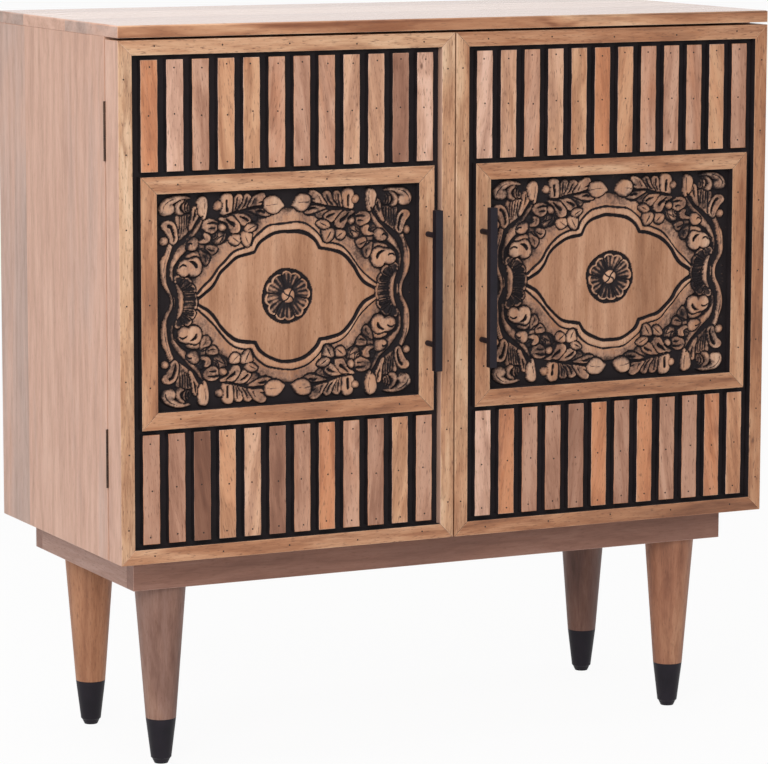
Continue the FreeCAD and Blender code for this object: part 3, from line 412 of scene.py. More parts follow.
# The doors: mitred frames round a black board, and a smaller mitred frame round the carving. The
# members of each are of one wood, some darker: their tones on the palette.
FRAME_GRAIN = {"hinge_stile": "Z", "meeting_stile": "Z", "top_rail": "X", "bottom_rail": "X"}
FRAME_TONES = {"left": (0.8, 0.76, 0.72, 0.5), "right": (0.25, 0.64, 0.38, 0.25)}
PANEL_FRAME_GRAIN = {"left": "Z", "right": "Z", "top": "X", "bottom": "X"}
PANEL_FRAME_TONES = {"left": (0.38, 0.45, 0.6, 0.3), "right": (0.5, 0.35, 0.42, 0.25)}
for side in SIDES:
    door = side + "_door_"
    outward = -1 if side == "left" else 1
    carving_low, carving_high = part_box(door + "carved_panel")
    carving_middle = (carving_low + carving_high) / 2
    for (member, along), tone in zip(FRAME_GRAIN.items(), FRAME_TONES[side]):
        # the frame's inner edges are painted black with the board
        eased(door + member, front_mango, along, rounding=0.7, chosen=(tone,),
              others=((side_mango, lambda face: face.normal.x * outward > 0.5),
                      (black_board, lambda face: abs(face.normal.y) < 0.5
                       and face.normal.dot(carving_middle - face.calc_center_median()) > 0)))
    for (member, along), tone in zip(PANEL_FRAME_GRAIN.items(), PANEL_FRAME_TONES[side]):
        # and so are all the edges of the small one
        eased(f"{door}panel_frame_{member}", front_mango, along, chosen=(tone,),
              others=((black_board, lambda face: abs(face.normal.y) < 0.5),))
    clad(door + "board", black_board)
    eased(door + "handle", black_steel, "Z", rounding=0.7)
    clad(door + "hinge_leaves", hinge_steel)
    for fitting in ("handle_screws", "hinge_screws", "strike_plate"):
        clad(door + fitting, zinc_steel)
for fitting in ("case_hinge_screws", "leg_bolts", "shelf_pins"):
    clad(fitting, zinc_steel)
clad("case_hinge_leaves", hinge_steel)
clad("hinge_pins", hinge_steel)
clad("door_catch", catch_nylon)

NAIL_RADIUS, NAIL_PROUD, NAIL_SUNK, NAIL_STRAY = 1.3, 0.15, 0.6, 2


def nails(name, places, front, body):
    """Small nail heads at places (x, z) of a front, each driven a little off its mark."""
    heads = bmesh.new()
    to_front = Matrix.Rotation(math.radians(90), 3, "X")
    for x, z in places:
        made = bmesh.ops.create_cone(heads, cap_ends=True, segments=10, radius1=NAIL_RADIUS * MM,
                                     radius2=NAIL_RADIUS * 0.8 * MM, depth=(NAIL_PROUD + NAIL_SUNK) * MM)
        bmesh.ops.rotate(heads, verts=made["verts"], cent=(0, 0, 0), matrix=to_front)
        off_x, off_z = (chance.uniform(-NAIL_STRAY, NAIL_STRAY) * MM for way in range(2))
        bmesh.ops.translate(heads, verts=made["verts"],
                            vec=(x + off_x, front + (NAIL_SUNK - NAIL_PROUD) / 2 * MM, z + off_z))
    mesh = bpy.data.meshes.new(name + "_nails")
    heads.to_mesh(mesh)
    heads.free()
    piece(name + "_nails", mesh, body, nail_iron)


# The slats: offcuts of many trees, so each has its own tone, held by three small nails.
SLAT_NAIL_FROM_END = 9
SLATS_IN_ROW = 12
ORANGE, HONEY, PALE_PINK, GREY_BROWN, DARK_BROWN = 0.6, 0.74, 1.0, 0.14, -0.08
# tones of a row's darker and paler slats, and those that stand out, by place from the left
SLAT_ROWS = [
    ("left", "upper", (0.26, 0.46), (0.72, 1.0),
     {0: ORANGE, 1: PALE_PINK, 3: HONEY, 4: HONEY, 10: GREY_BROWN, 11: PALE_PINK}),
    ("left", "lower", (0.24, 0.44), (0.68, 0.9), {2: DARK_BROWN, 3: HONEY, 5: GREY_BROWN, 7: ORANGE}),
    ("right", "upper", (0.28, 0.46), (0.72, 0.95), {0: PALE_PINK, 5: ORANGE, 6: HONEY}),
    ("right", "lower", (0.22, 0.4), (0.56, 0.76), {0: PALE_PINK, 1: ORANGE, 4: GREY_BROWN, 5: ORANGE}),
]
for side, row, darker, paler, odd in SLAT_ROWS:
    name = f"{side}_door_{row}_slats"
    tones = [chance.uniform(*chance.choice((darker, paler))) for slat in range(SLATS_IN_ROW)]
    for slat, tone in odd.items():
        tones[slat] = tone
    slats = eased(name, slat_mango, "Z", chosen=tones, uneven=0.22, tilt=9,
                  others=((black_board, lambda face: face.normal.y > -0.5),))
    work = bmesh.new()
    work.from_mesh(slats.data)
    low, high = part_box(name)
    levels = (low.z + SLAT_NAIL_FROM_END * MM, (low.z + high.z) / 2, high.z - SLAT_NAIL_FROM_END * MM)
    places = []
    for island in islands_of(work):
        xs = [v.co.x for face in island for v in face.verts]
        places += [((min(xs) + max(xs)) / 2, level) for level in levels]
    work.free()
    nails(name, places, low.y, side + "_door")

# The frames are nailed to the board behind them.
FRAME_NAIL_STEP = 88
for side in SIDES:
    members = [*FRAME_GRAIN, *(f"panel_frame_{member}" for member in PANEL_FRAME_GRAIN)]
    for member in members:
        low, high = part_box(f"{side}_door_{member}")
        middle = (low + high) / 2
        long_axis = max((0, 2), key=lambda axis: high[axis] - low[axis])
        reach = (high - low)[long_axis]
        count = round(reach / MM / FRAME_NAIL_STEP)
        places = []
        for step in range(count):
            place = [middle.x, middle.z]
            place[long_axis // 2] = low[long_axis] + reach * (step + 0.5) / count
            places.append(place)
        nails(f"{side}_door_{member}", places, low.y, side + "_door")


def rise(low, high, value):
    """A smooth step from 0 at low to 1 at high."""
    t = np.clip((value - low) / (high - low), 0, 1)
    return t * t * (3 - 2 * t)


def flowing(points, between=6, closed=False):
    """A smooth line through points, which may have more than two numbers each."""
    known = np.array(points, float)
    if closed:
        known = np.vstack([known[-1:], known, known[:2]])
    else:
        known = np.vstack([2 * known[0] - known[1], known, 2 * known[-1] - known[-2]])
    out = []
    for a, b, c, d in zip(known, known[1:], known[2:], known[3:]):
        for t in np.arange(between) / between:
            out.append(0.5 * (2 * b + (c - a) * t + (2 * a - 5 * b + 4 * c - d) * t ** 2
                              + (3 * b - a - 3 * c + d) * t ** 3))
    return np.array([*out, known[-2]])


FAR = 999.0
# black line round each form, depth and wash of a scoop, and how much wider than drawn a gouge cuts
OUTLINE, SCOOP_DEPTH, SCOOP_WASH, GOUGE = 1.2, 1.4, 0.4, 1.2
# each form is cut a little fuller than it is drawn, keeps some wash, and gets painted shade towards its edges
FULLER, FORM_WASH, EDGE_PAINTED_SHADE = 1.0, 0.15, 0.27
# from a form's edge inwards: its black line, the band of painted shade, and the pale rim of a scoop
EDGE_LINE, PAINTED_SHADE_BAND, SCOOP_RIM = (0.95, 0.1), (4.5, 0.8), (1.3, 3.6)


def beside(u, v, a, b):
    """How far points lie from the straight between a and b, and the share of it where they are nearest."""
    run = (b - a)[:2]
    share = np.clip(((u - a[0]) * run[0] + (v - a[1]) * run[1]) / max(run @ run, 1e-9), 0, 1)
    return np.hypot(u - a[0] - share * run[0], v - a[1] - share * run[1]), share


class Relief:
    """Height and black stain of the carved face at points in mm from its middle, mirrored both ways."""

    def __init__(self, x, z):
        self.u, self.v = np.abs(x), np.abs(z)
        self.height = np.zeros_like(x)
        self.stain = np.ones_like(x)

    def around(self, line, margin):
        """The points in the box round a line."""
        low, high = line[:, :2].min(0) - margin, line[:, :2].max(0) + margin
        return np.nonzero((self.u > low[0]) & (self.u < high[0]) & (self.v > low[1]) & (self.v < high[1]))[0]

    def lay(self, spot, depth, top, ease, wash, scoop=0.0):
        """Lays a form over what is there: depth is how far each point lies inside its edge.

        A scooped form keeps a pale rim and is hollow, with more of the wash left in it.
        """
        shoulder = np.clip(depth / ease, 0, 1)
        hollow = scoop * rise(*SCOOP_RIM, depth)
        height = top * np.sqrt(1 - (1 - shoulder) ** 2) - SCOOP_DEPTH * hollow
        on = depth > 0
        self.height[spot[on]] = np.maximum(height, 0.5 * self.height[spot])[on]
        # the wash left on a form, and painted shade that darkens it towards its edges so that it looks
        # rounded
        wash_and_painted_shade = wash + np.maximum(FORM_WASH + EDGE_PAINTED_SHADE * rise(*PAINTED_SHADE_BAND, depth), SCOOP_WASH * hollow)
        self.stain[spot[on]] = np.maximum(rise(*EDGE_LINE, depth), wash_and_painted_shade)[on]
        line = ~on & (depth > -OUTLINE) & (self.height[spot] < top)
        self.height[spot[line]] *= 0.5
        self.stain[spot[line]] = np.maximum(self.stain[spot[line]], 0.95)

    def form(self, outline, top, wash=0.0, scoop=0.0, ease=2.2):
        """A leaf, lobe or bud with a closed outline."""
        line = flowing(outline, 5, closed=True)
        spot = self.around(line, OUTLINE + FULLER)
        u, v = self.u[spot], self.v[spot]
        away, inside = np.full(len(spot), FAR), np.zeros(len(spot), bool)
        for a, b in zip(line, line[1:]):
            away = np.minimum(away, beside(u, v, a, b)[0])
            if a[1] != b[1]:
                crossing = a[0] + (v - a[1]) * (b[0] - a[0]) / (b[1] - a[1])
                inside ^= ((a[1] > v) != (b[1] > v)) & (u < crossing)
        self.lay(spot, np.where(inside, away, -away) + FULLER, top, ease, wash, scoop)

    def along(self, points):
        """The points near a line of (u, v, half width), and how far inside its edge each one lies."""
        line = flowing(points)
        spot = self.around(line, line[:, 2].max() + OUTLINE)
        u, v = self.u[spot], self.v[spot]
        depth = np.full(len(spot), -FAR)
        for a, b in zip(line, line[1:]):
            away, share = beside(u, v, a, b)
            depth = np.maximum(depth, a[2] + (b[2] - a[2]) * share - away)
        return spot, depth

    def stroke(self, points, top, wash=0.0):
        """A stem, rib or rim."""
        spot, depth = self.along(points)
        self.lay(spot, depth, top, max(p[2] for p in points), wash)

    def knob(self, u, v, radius, top, wash=0.0):
        """A round scroll end."""
        self.stroke([(u - 0.1, v, radius), (u + 0.1, v, radius)], top, wash)

    def cut(self, points, deep, wash=1.0):
        """A gouge cut along a line, left black."""
        spot, depth = self.along([(u, v, half * GOUGE) for u, v, half in points])
        share = np.clip(depth / 0.8, 0, 1)
        self.height[spot] = np.maximum(self.height[spot] - deep * share, 0)
        self.stain[spot] = np.maximum(self.stain[spot], wash * rise(-0.3, 0.5, depth))


# The carving, one quarter of it: (across, up, half width) in mm from the panel's middle.
INNER_EDGE = [[(126, 0), (119, 4), (105, 12), (97, 21), (90, 32), (80, 43), (70, 50), (58, 53.5), (43, 56)],
              [(43, 56), (38, 65), (30, 72), (20, 77), (8, 79.7), (-8, 79.7)]]
OUTER_EDGE = [[(136, 0), (126, 6), (115, 14), (100, 28), (92, 38), (82, 50), (72, 58), (60, 62), (48, 64)],
              [(48, 64), (44, 72), (36, 80), (25, 87), (9, 90), (-9, 90)]]
BAND_WIDTH, BAND_SLOPE = 14, 4
# leaf masses, lobes and buds: closed outlines, with their height and how much wash is left on them
MASSES = [
    # low grey leaf behind the stem, and the pink mass over the comma scroll
    ([(118, 69), (110, 68.5), (105, 64), (104, 58), (109, 57), (116, 61)], 3.4, 0.3),
    ([(98, 81), (91, 83), (83, 81), (80, 75), (88, 69), (97, 70)], 3.2, 0.3),
    ([(123, 82.5), (115, 83.5), (108, 81), (106, 75), (110, 71), (118, 70.5), (122, 75)], 3.4, 0.55),
    ([(135, 54), (128, 58), (120.5, 59), (115.6, 55), (113.4, 49), (113.8, 42), (119, 40),
      (128, 47)], 4.2, 0.06),
]
# shell beside the field, scalloped and dark inside its pale rim
SHELL = [(151, 28), (148, 32), (143, 32.8), (139.4, 30.6), (137.9, 28.4), (135.4, 30), (131.4, 29),
         (127.8, 25.6), (127, 22), (123.8, 19), (122, 14.4), (123.4, 10.4), (121.2, 8.2), (120.6, 4),
         (120.6, -6), (138, -6), (138.4, 8), (142, 17), (148, 22)]
SHELL_TOP, SHELL_SCOOP = 5.2, 1.7
BUDS = [
    # corner hook with its knob, and the curl inside it
    ([(158.5, 105.6), (164.9, 106.6), (167.8, 111), (168, 116), (165.5, 120.4), (161.4, 123.8),
      (155.6, 126.4), (148.6, 127.6), (140.5, 127.8), (133.5, 126.6), (129.6, 124.6), (136, 123.8),
      (142.8, 123), (148, 121), (152.1, 118.8), (155.6, 117.2), (152.4, 116.6), (150, 112.8),
      (151.2, 108.6), (154.6, 106)], 6.2, 0.14),
    ([(138, 123), (144.6, 120.4), (148.4, 116.4), (149.4, 112), (148.2, 107.6), (145.1, 105),
      (140.6, 104.8), (138.4, 106.6), (141.2, 108.6), (143.4, 111), (143.8, 114), (142, 117.6),
      (138.4, 120.6)], 5.6, 0.14),
    # club at the head of the stem, and the pink knob on its inside
    ([(110.2, 127.4), (106.8, 124.6), (105.6, 119), (106, 112), (108.4, 102), (111.2, 98.6), (115, 102.6),
      (117.8, 106.4), (118.4, 111), (119.8, 116.8), (120, 121), (117.4, 125.4), (113.7, 127)], 6.2),
    ([(134, 67.9), (130.4, 72.4), (125.4, 75.6), (120.4, 75.4), (117.8, 71.4), (119, 65.4), (122.8, 61.6),
      (127.8, 61.2), (131.6, 62.8), (134, 65.4)], 5, 0.08),
    # comma scroll
    ([(146, 41.2), (145.8, 37.4), (143, 33.6), (138.1, 31.8), (133.5, 33), (131.2, 34.2), (128.8, 31.2),
      (124.2, 30), (119, 31.2), (115.4, 35), (114.2, 40), (115, 46), (118.2, 51), (123, 53), (130, 51.2),
      (137, 50.6), (143.4, 47.4)], 6),
    # first lobe of the sprig, and the bud at its end
    ([(88.6, 104.6), (89.4, 114.4), (88.8, 123), (85.6, 127.2), (81.2, 128.2), (76.1, 127.4), (73.6, 122.8),
      (74, 113.3), (75.6, 105), (81.2, 102.4)], 6),
    ([(30.4, 119.4), (25.4, 122.6), (18.4, 123.2), (12.8, 120.8), (8.6, 116), (5.4, 110.4), (8.8, 108),
      (13.6, 104.4), (20.7, 103), (26.8, 105.8), (30.6, 110.8)], 6),
    # small flower at the notch
    ([(78.6, 75), (75.6, 77.8), (69.5, 78.4), (64.4, 77.2), (63.4, 71.4), (66.8, 67.3), (71.8, 66.2),
      (76.4, 69.4)], 5.3),
    ([(62, 77.4), (56.7, 80.2), (50.6, 79), (46.8, 77), (48.6, 67.8), (51.8, 63.2), (57, 65),
      (60.8, 70)], 5.5),
    ([(56.2, 82.4), (54.2, 87.6), (47.4, 90.6), (40.4, 87.4), (43.6, 82.6), (49.8, 79.6)], 5.3),
]
# lobes that are scooped out behind a pale rim
LOBES = [
    # fan under the corner hook, its edge blade, and the curl below it
    ([(148.4, 101.4), (145, 104), (138, 104.6), (129, 104.4), (126.6, 101), (126.6, 93.4), (129.6, 87.2),
      (135.6, 80), (142.6, 74.4), (147.4, 73), (150, 77), (147, 84), (147.2, 93)], 4.8, 0.12),
    ([(125, 112.6), (122, 114.2), (118.6, 111.6), (117.2, 107), (118.6, 101.6), (121, 97.8), (123.6, 93.2),
      (128, 85.6), (131, 86), (129, 93), (127.4, 99), (126.4, 105), (125.8, 109.6)], 5.4),
    ([(166.8, 94), (164.6, 97.4), (160.2, 98.8), (155.4, 98.2), (150.8, 95), (148, 89.6), (146.6, 83),
      (146.4, 75.4), (151, 70.4), (155.4, 73), (157.8, 79.8), (161.4, 86.2), (165.6, 90.2)], 5.8),
    # leaves over the pink knob
    ([(111, 94.4), (108, 97), (103.3, 98.6), (96.3, 98), (92.8, 96.2), (93.2, 91), (93.4, 85.6),
      (96.6, 82.6), (101, 81.6), (106.7, 83.6), (110.6, 86.8), (112, 90.6)], 5.2, 0.04),
    ([(108.4, 81.6), (103.2, 79), (102.8, 73.6), (106.8, 69.6), (114.9, 69), (117.8, 71), (110.8, 73.4),
      (109.4, 76.6), (111, 80.4)], 5.6),
    ([(106, 66.2), (99.8, 66.2), (94, 64.2), (94.8, 59.4), (99.4, 55.2), (103.4, 58.2),
      (107, 62)], 4.9, 0.06),
    ([(115.4, 60.2), (110.2, 57), (104.2, 54.6), (102.4, 51), (103.8, 46.4), (107.8, 42.8), (112, 46.6),
      (114.4, 52.6)], 4.6, 0.12),
    # upper lobes of the sprig
    ([(73.4, 104.8), (72.4, 113.3), (71, 121), (68, 125.6), (63.4, 126), (60.8, 122.8), (60.6, 118),
      (63, 111), (66, 106), (69.8, 103.6)], 5.2, 0.05),
    ([(65.5, 107.8), (60.6, 114.4), (58.6, 121), (56, 125.6), (52, 126.4), (48, 123.4), (47.4, 119.6),
      (50.4, 114.6), (54, 110.4), (60, 106.8)], 5.2, 0.08),
    ([(52.7, 110.4), (48, 118), (45, 123), (40.8, 126.2), (35.8, 128.4), (31.2, 127.6), (29.4, 122.8),
      (30.2, 118.2), (33.4, 116.2), (34.6, 114), (40.2, 111.6), (47.2, 109.8)], 5.8),
    # lower lobes of the sprig
    ([(54.6, 103.4), (46.3, 102.6), (41, 99.6), (39.8, 96.2), (44, 93.2), (49, 96.6)], 4.8, 0.16),
    ([(51.4, 106.6), (42.8, 108), (33.4, 108), (27.4, 106.2), (22.2, 103.4), (24.4, 100.2), (31, 99.2),
      (39.3, 101), (45.4, 103.6)], 5.2, 0.03),
    ([(74.2, 101.2), (63.7, 102.8), (56.4, 101.6), (50.2, 97.2), (49, 93.2), (51.7, 90), (57.9, 88.2),
      (62.4, 90.8), (65.3, 94.4), (69.8, 98)], 5.4),
    ([(91, 99.7), (82.3, 100.8), (73.9, 99.9), (69, 95.4), (64.9, 90.8), (63.6, 87), (64.9, 82.6),
      (70.1, 80.6), (75.2, 82), (78.3, 87.5), (81.8, 91), (84.2, 94.4)], 5.6),
]
STROKES = [
    # the S-shaped vine: outer strand, inner strand, and the crescent between the shell and the vine
    ([(153.4, 72.4, 3.4), (157, 64.4, 3.5), (159.6, 56.9, 3.7), (162.9, 49, 4.5), (164, 39, 4.6),
      (164, 30.1, 4.2), (162.6, 22.6, 3.4), (159.6, 15.6, 2.8), (156.4, 9.6, 2.4), (154.6, 3, 2.2),
      (154.6, -3, 2.2)], 5.8),
    ([(113.2, 97.4, 2), (117.2, 90, 2.9), (121.9, 83, 3.4), (128.8, 74.4, 4.2), (137, 65, 5.2),
      (144.4, 57, 5.4), (150, 49.6, 4.2), (153.6, 42, 2.6), (153.4, 33, 1.9), (152.4, 26, 1.5)], 4.8, 0.16),
    ([(147.4, 21, 1.5), (144, 14.8, 3), (141.8, 8, 3.8), (141, 0, 4), (141, -5, 4)], 5.4),
    # thin curls inside the corner hook
    ([(134.4, 123.6, 1.1), (137.6, 118, 1.4), (138, 112, 1.4), (135.4, 106.8, 1.2)], 4.8, 0.12),
    ([(132.6, 119, 1), (134.4, 114, 1.2), (133.2, 108.6, 1.2), (130.4, 109.6, 1.2),
      (130.6, 115, 1)], 4.4, 0.2),
    # ribs of the shell
    ([(142.4, 20, 0.6), (140, 25, 0.9), (138.2, 28, 1.1)], 4.8, 0.12),
    ([(139.6, 15.6, 0.6), (133, 19, 0.9), (128.4, 22, 1.1)], 4.8, 0.12),
    ([(137.6, 9.4, 0.6), (130, 10, 0.9), (124.6, 10.4, 1.1)], 4.8, 0.12),
    ([(137, 3, 0.6), (130, 3.2, 0.8), (122.6, 3.4, 0.9)], 4.4, 0.3),
    ([(136.6, 14, 0.5), (130, 15.4, 0.8), (124.6, 16, 0.8)], 4.2, 0.35),
    # grey tendrils
    ([(98, 75, 0.9), (94.4, 77.4, 1.2), (93.4, 81.6, 0.9)], 4.2, 0.15),
    ([(87.4, 70.6, 0.9), (84, 74.6, 1.2), (82.6, 81, 0.9)], 4.2, 0.15),
    ([(44, 96.4, 0.9), (36, 98.6, 1.2), (29, 98, 0.9)], 4.4, 0.2),
]
# round ends: across, up, radius and height
KNOBS = [(163.1, 74.7, 5.6, 5.8), (92.2, 114.6, 5.8, 5.8), (86.4, 88.8, 5.4, 5.8), (168, 5.6, 1.3, 1.5, 0.2)]
# gouge cuts, with their depth and how black they are
CUTS = [
    # the black stem of the vine, and the line under its inner strand
    ([(112.6, 102.6, 1), (116, 97, 1.5), (120.7, 91.2, 1.6), (125.3, 85.3, 1.7), (131.2, 80.7, 2),
      (138.1, 76, 2.1), (144, 71.4, 2.1), (149.2, 65.6, 2.5), (153.3, 58.6, 2.5), (155.6, 51.6, 2.1),
      (157.3, 43.5, 1.8), (157.9, 35.3, 1.7), (157.3, 28.4, 2.1), (155, 20.2, 2.5), (150.9, 13.3, 2.3),
      (148, 7.4, 2.2), (147, 0, 2.2), (147, -4, 2.2)], 5.8),
    ([(151.4, 44, 0.7), (146, 50, 1.2), (139.3, 56, 1.3), (131.2, 59.4, 1.1), (122, 60.4, 0.9)], 3.6),
    ([(147, 62.4, 0.4), (139, 69.6, 0.7), (131, 76.4, 0.4)], 1.6, 0.75),
    # stem of the sprig, and the slots of its lobes
    ([(89, 102, 0.6), (75.3, 104, 1.1), (63.7, 106.3, 1.2), (52.1, 108.8, 1.3), (40.5, 110.6, 1.5),
      (32.6, 111.6, 1.6)], 5.2),
    ([(81.7, 119.4, 1.5), (81.4, 107.4, 1.5)], 5.2),
    ([(67.4, 122.4, 0.7), (68.2, 113, 1), (70.2, 107, 0.5)], 2.8, 0.95),
    ([(63.4, 121.4, 0.5), (65, 113.6, 0.7)], 1.8, 0.7),
    ([(53.4, 121.8, 0.9), (56, 115, 1.1), (61, 109.6, 0.6)], 2.8, 0.95),
    ([(42.6, 121.4, 0.5), (45.6, 114.4, 0.8)], 2, 0.8),
    ([(37, 116.4, 0.6), (33, 117.6, 1.1)], 3, 0.95),
    ([(82.4, 98.4, 0.6), (77.7, 94.1, 1.4), (72.6, 90.8, 1.9), (71.8, 89.4, 1.6)], 4.6),
    ([(63.4, 98.9, 0.6), (56.9, 96.8, 1.4), (52.9, 94.2, 1.2)], 3.6),
    ([(39.2, 105.2, 0.7), (34.6, 105.6, 1.4), (29.8, 104, 1.1)], 3.4),
    ([(96, 98, 0.6), (90, 96, 1.2), (84.4, 93.6, 1.1), (81.6, 90, 0.7)], 4),
    # corner curls and fan
    ([(156.9, 93, 1.8), (153.8, 91, 1.7), (151.5, 85.3, 1.7), (150, 78.4, 1.3), (150.6, 74, 0.6)], 4.8),
    ([(143.2, 103.4, 0.9), (143.8, 90, 0.8), (145.2, 77.6, 0.4)], 3, 0.95),
    ([(140, 103.6, 0.9), (140.4, 90, 0.8), (142, 79.6, 0.4)], 3, 0.95),
    ([(136.6, 103.8, 0.9), (137, 91.2, 0.8), (139.2, 82, 0.4)], 3, 0.95),
    ([(133, 103.6, 0.9), (133.4, 92.3, 0.8), (136, 85, 0.4)], 3, 0.95),
    ([(129.6, 103, 0.8), (130.4, 93.5, 0.8), (133.2, 87.4, 0.4)], 3, 0.95),
    ([(122.1, 110.4, 0.7), (122.4, 105, 1.4), (124.4, 98, 0.6)], 3.4, 0.95),
    # leaves, comma scroll and pink knob
    ([(106, 92.9, 0.6), (99.8, 93.9, 1.3), (93.6, 93.4, 1.2)], 3, 0.95),
    ([(104, 87.1, 0.5), (100, 87.7, 1.1), (96, 87.6, 1)], 2.6, 0.9),
    ([(106, 62, 0.5), (101, 59.8, 1), (97, 59.6, 0.6)], 2.6, 0.85),
    ([(111, 55, 0.5), (107.6, 50, 0.9), (107.4, 46, 0.5)], 2.2, 0.8),
    ([(130, 48.7, 0.6), (125.3, 47, 1.6), (121.9, 43.5, 1.9), (121.3, 41.2, 1.4)], 4.8),
    ([(144.6, 42.8, 0.7), (140.5, 45.2, 1), (136.4, 44.1, 1), (135, 42.8, 0.5)], 2.8, 0.95),
    ([(134, 66.8, 0.6), (131.7, 69.2, 1), (128.8, 69.7, 0.9), (127.6, 68.4, 0.5)], 2.6, 0.95),
    # creases of the small flower, the low leaves, the club, the corner hook, the end bud and the vine
    ([(65.4, 68.6, 0.3), (70, 72.4, 0.7), (74.6, 75.8, 0.3)], 1.8, 0.85),
    ([(51.6, 65.6, 0.3), (54.4, 71, 0.7), (57, 77, 0.3)], 1.8, 0.85),
    ([(52.4, 82.4, 0.3), (48, 85, 0.7), (43.6, 87.4, 0.3)], 1.8, 0.85),
    ([(116, 62.4, 0.3), (111, 62, 0.7), (106.6, 60.4, 0.4)], 1.8, 0.9),
    ([(97, 71.4, 0.4), (91, 75.4, 0.8), (84, 78.6, 0.4)], 1.8, 0.9),
    ([(120.6, 80, 0.4), (115, 77.6, 0.8), (109, 74.4, 0.4)], 1.8, 0.9),
    ([(110.2, 124, 0.3), (109.6, 115, 0.6), (111.2, 104, 0.3)], 1.6, 0.8),
    ([(164.6, 110, 0.3), (163, 116.4, 0.6), (156, 122.6, 0.6), (146, 125.4, 0.3)], 1.6, 0.8),
    ([(29, 112.6, 0.5), (22, 113.6, 0.5), (13, 113.4, 0.2)], 1.4, 0.7),
    ([(156.4, 68, 0.3), (161, 54, 0.6), (163.6, 42, 0.6), (163.6, 30, 0.3)], 1.4, 0.7),
]
ROSETTE_RADIUS, ROSETTE_RIM, SCALLOP, BUTTON_RADIUS, PETALS, PETAL_TURN = 33, 30.6, 3.2, 9.6, 6, 0.17
FIELD_TOP, BAND_TOP, ROLL_TOP, ROSETTE_FLOOR, ROSETTE_TOP, BUTTON_TOP = 4.5, 3.6, 6, 1.6, 6, 7
# half width and depth of the grooves inside and outside the moulding
INNER_GROOVE, OUTER_GROOVE = (2.3, 3.4), (1.3, 2.0)
# painted shade on the moulding's roll, darker towards both its edges, and how much paler the ground among the
# leaves is
ROLL_PAINTED_SHADE, PALER_GROUND = 0.34, 0.26
# tone of the field, and the painted highlight added for each mm that the relief stands above it
FIELD_TONE, PAINTED_HIGHLIGHT_PER_MM = 0.47, 0.15
# slow and quick wavers of the carver's hand, as length and reach, and the height of the tool marks
WAVERS, TOOL_MARK = ((70, 0.7), (28, 0.4)), 0.12
GRID_STEP = 1.0
HEART_BEHIND = 0.22


def outside(edges, u, v):
    """Signed distance in mm from an outline of two flowing arcs, positive outside it."""
    line = np.vstack([flowing(arc, 10) for arc in edges])
    turn, reach = np.arctan2(line[:, 1], line[:, 0]), np.hypot(line[:, 0], line[:, 1])
    sign = np.where(np.hypot(u, v) < np.interp(np.arctan2(v, u), turn, reach), -1, 1)
    away = np.full(u.shape, FAR)
    for a, b in zip(line, line[1:]):
        away = np.minimum(away, beside(u, v, a, b)[0])
    return sign * away


def carve(x, z, hand):
    """Height and stain of one carved face, with the unevenness of handwork."""
    waver = np.zeros((2, len(x)))
    for length, reach in WAVERS:
        for way in range(2):
            turn, start = hand.uniform(0, math.tau), hand.uniform(0, math.tau)
            along = x * math.cos(turn) + z * math.sin(turn)
            waver[way] += reach * np.sin(along * math.tau / length + start)
    face = Relief(x + waver[0], z + waver[1])
    u, v = face.u, face.v
    inner, outer = outside(INNER_EDGE, u, v), outside(OUTER_EDGE, u, v)
    band = 1 - rise(BAND_WIDTH, BAND_WIDTH + BAND_SLOPE, outer)
    face.height = BAND_TOP * band
    # the ground among the inner leaves is less black than that by the frame
    among = rise(BAND_WIDTH + 34, BAND_WIDTH + 16, outer) * rise(50, 75, u) * rise(150, 140, u)
    # and the band keeps a grey wash, more further out
    band_wash = 0.3 * rise(0, 5, outer) + 0.22 * rise(7, BAND_WIDTH * 1.2, outer)
    face.stain = np.maximum((1 - band) * (1 - PALER_GROUND * among), band_wash)
    roll = (inner > 0) & (outer < 0)
    across = inner[roll] / np.maximum(inner[roll] - outer[roll], 0.1)
    face.height[roll] = FIELD_TOP + (ROLL_TOP - FIELD_TOP) * np.sin(np.pi * across)
    # painted shade: the roll darkens towards both its edges so that it looks round
    face.stain[roll] = ROLL_PAINTED_SHADE * (2 * across - 1) ** 2
    face.height[inner < 0] = FIELD_TOP
    face.stain[inner < 0] = 0
    for edge, (half, depth) in ((inner, INNER_GROOVE), (outer, OUTER_GROOVE)):
        share = np.abs(edge) / half
        face.height -= depth * np.clip(1 - share, 0, 1)
        face.stain = np.maximum(face.stain, rise(1.2, 0.7, share))
    for mass in MASSES:
        face.form(*mass)
    face.form(SHELL, SHELL_TOP, scoop=SHELL_SCOOP)
    for line in STROKES:
        face.stroke(*line)
    for lobe in LOBES:
        face.form(*lobe, scoop=1.0)
    for bud in BUDS:
        face.form(*bud)
    for knob in KNOBS:
        face.knob(*knob)
    for line in CUTS:
        face.cut(*line)
    rosette(face, x + waver[0], z + waver[1])
    marks = np.sin(x * 1.1 + waver[0] * 3) * np.sin(z * 0.9 + waver[1] * 3)
    face.height += TOOL_MARK * marks * (face.stain < 0.9)
    return np.maximum(face.height, 0), np.clip(face.stain, 0, 1)


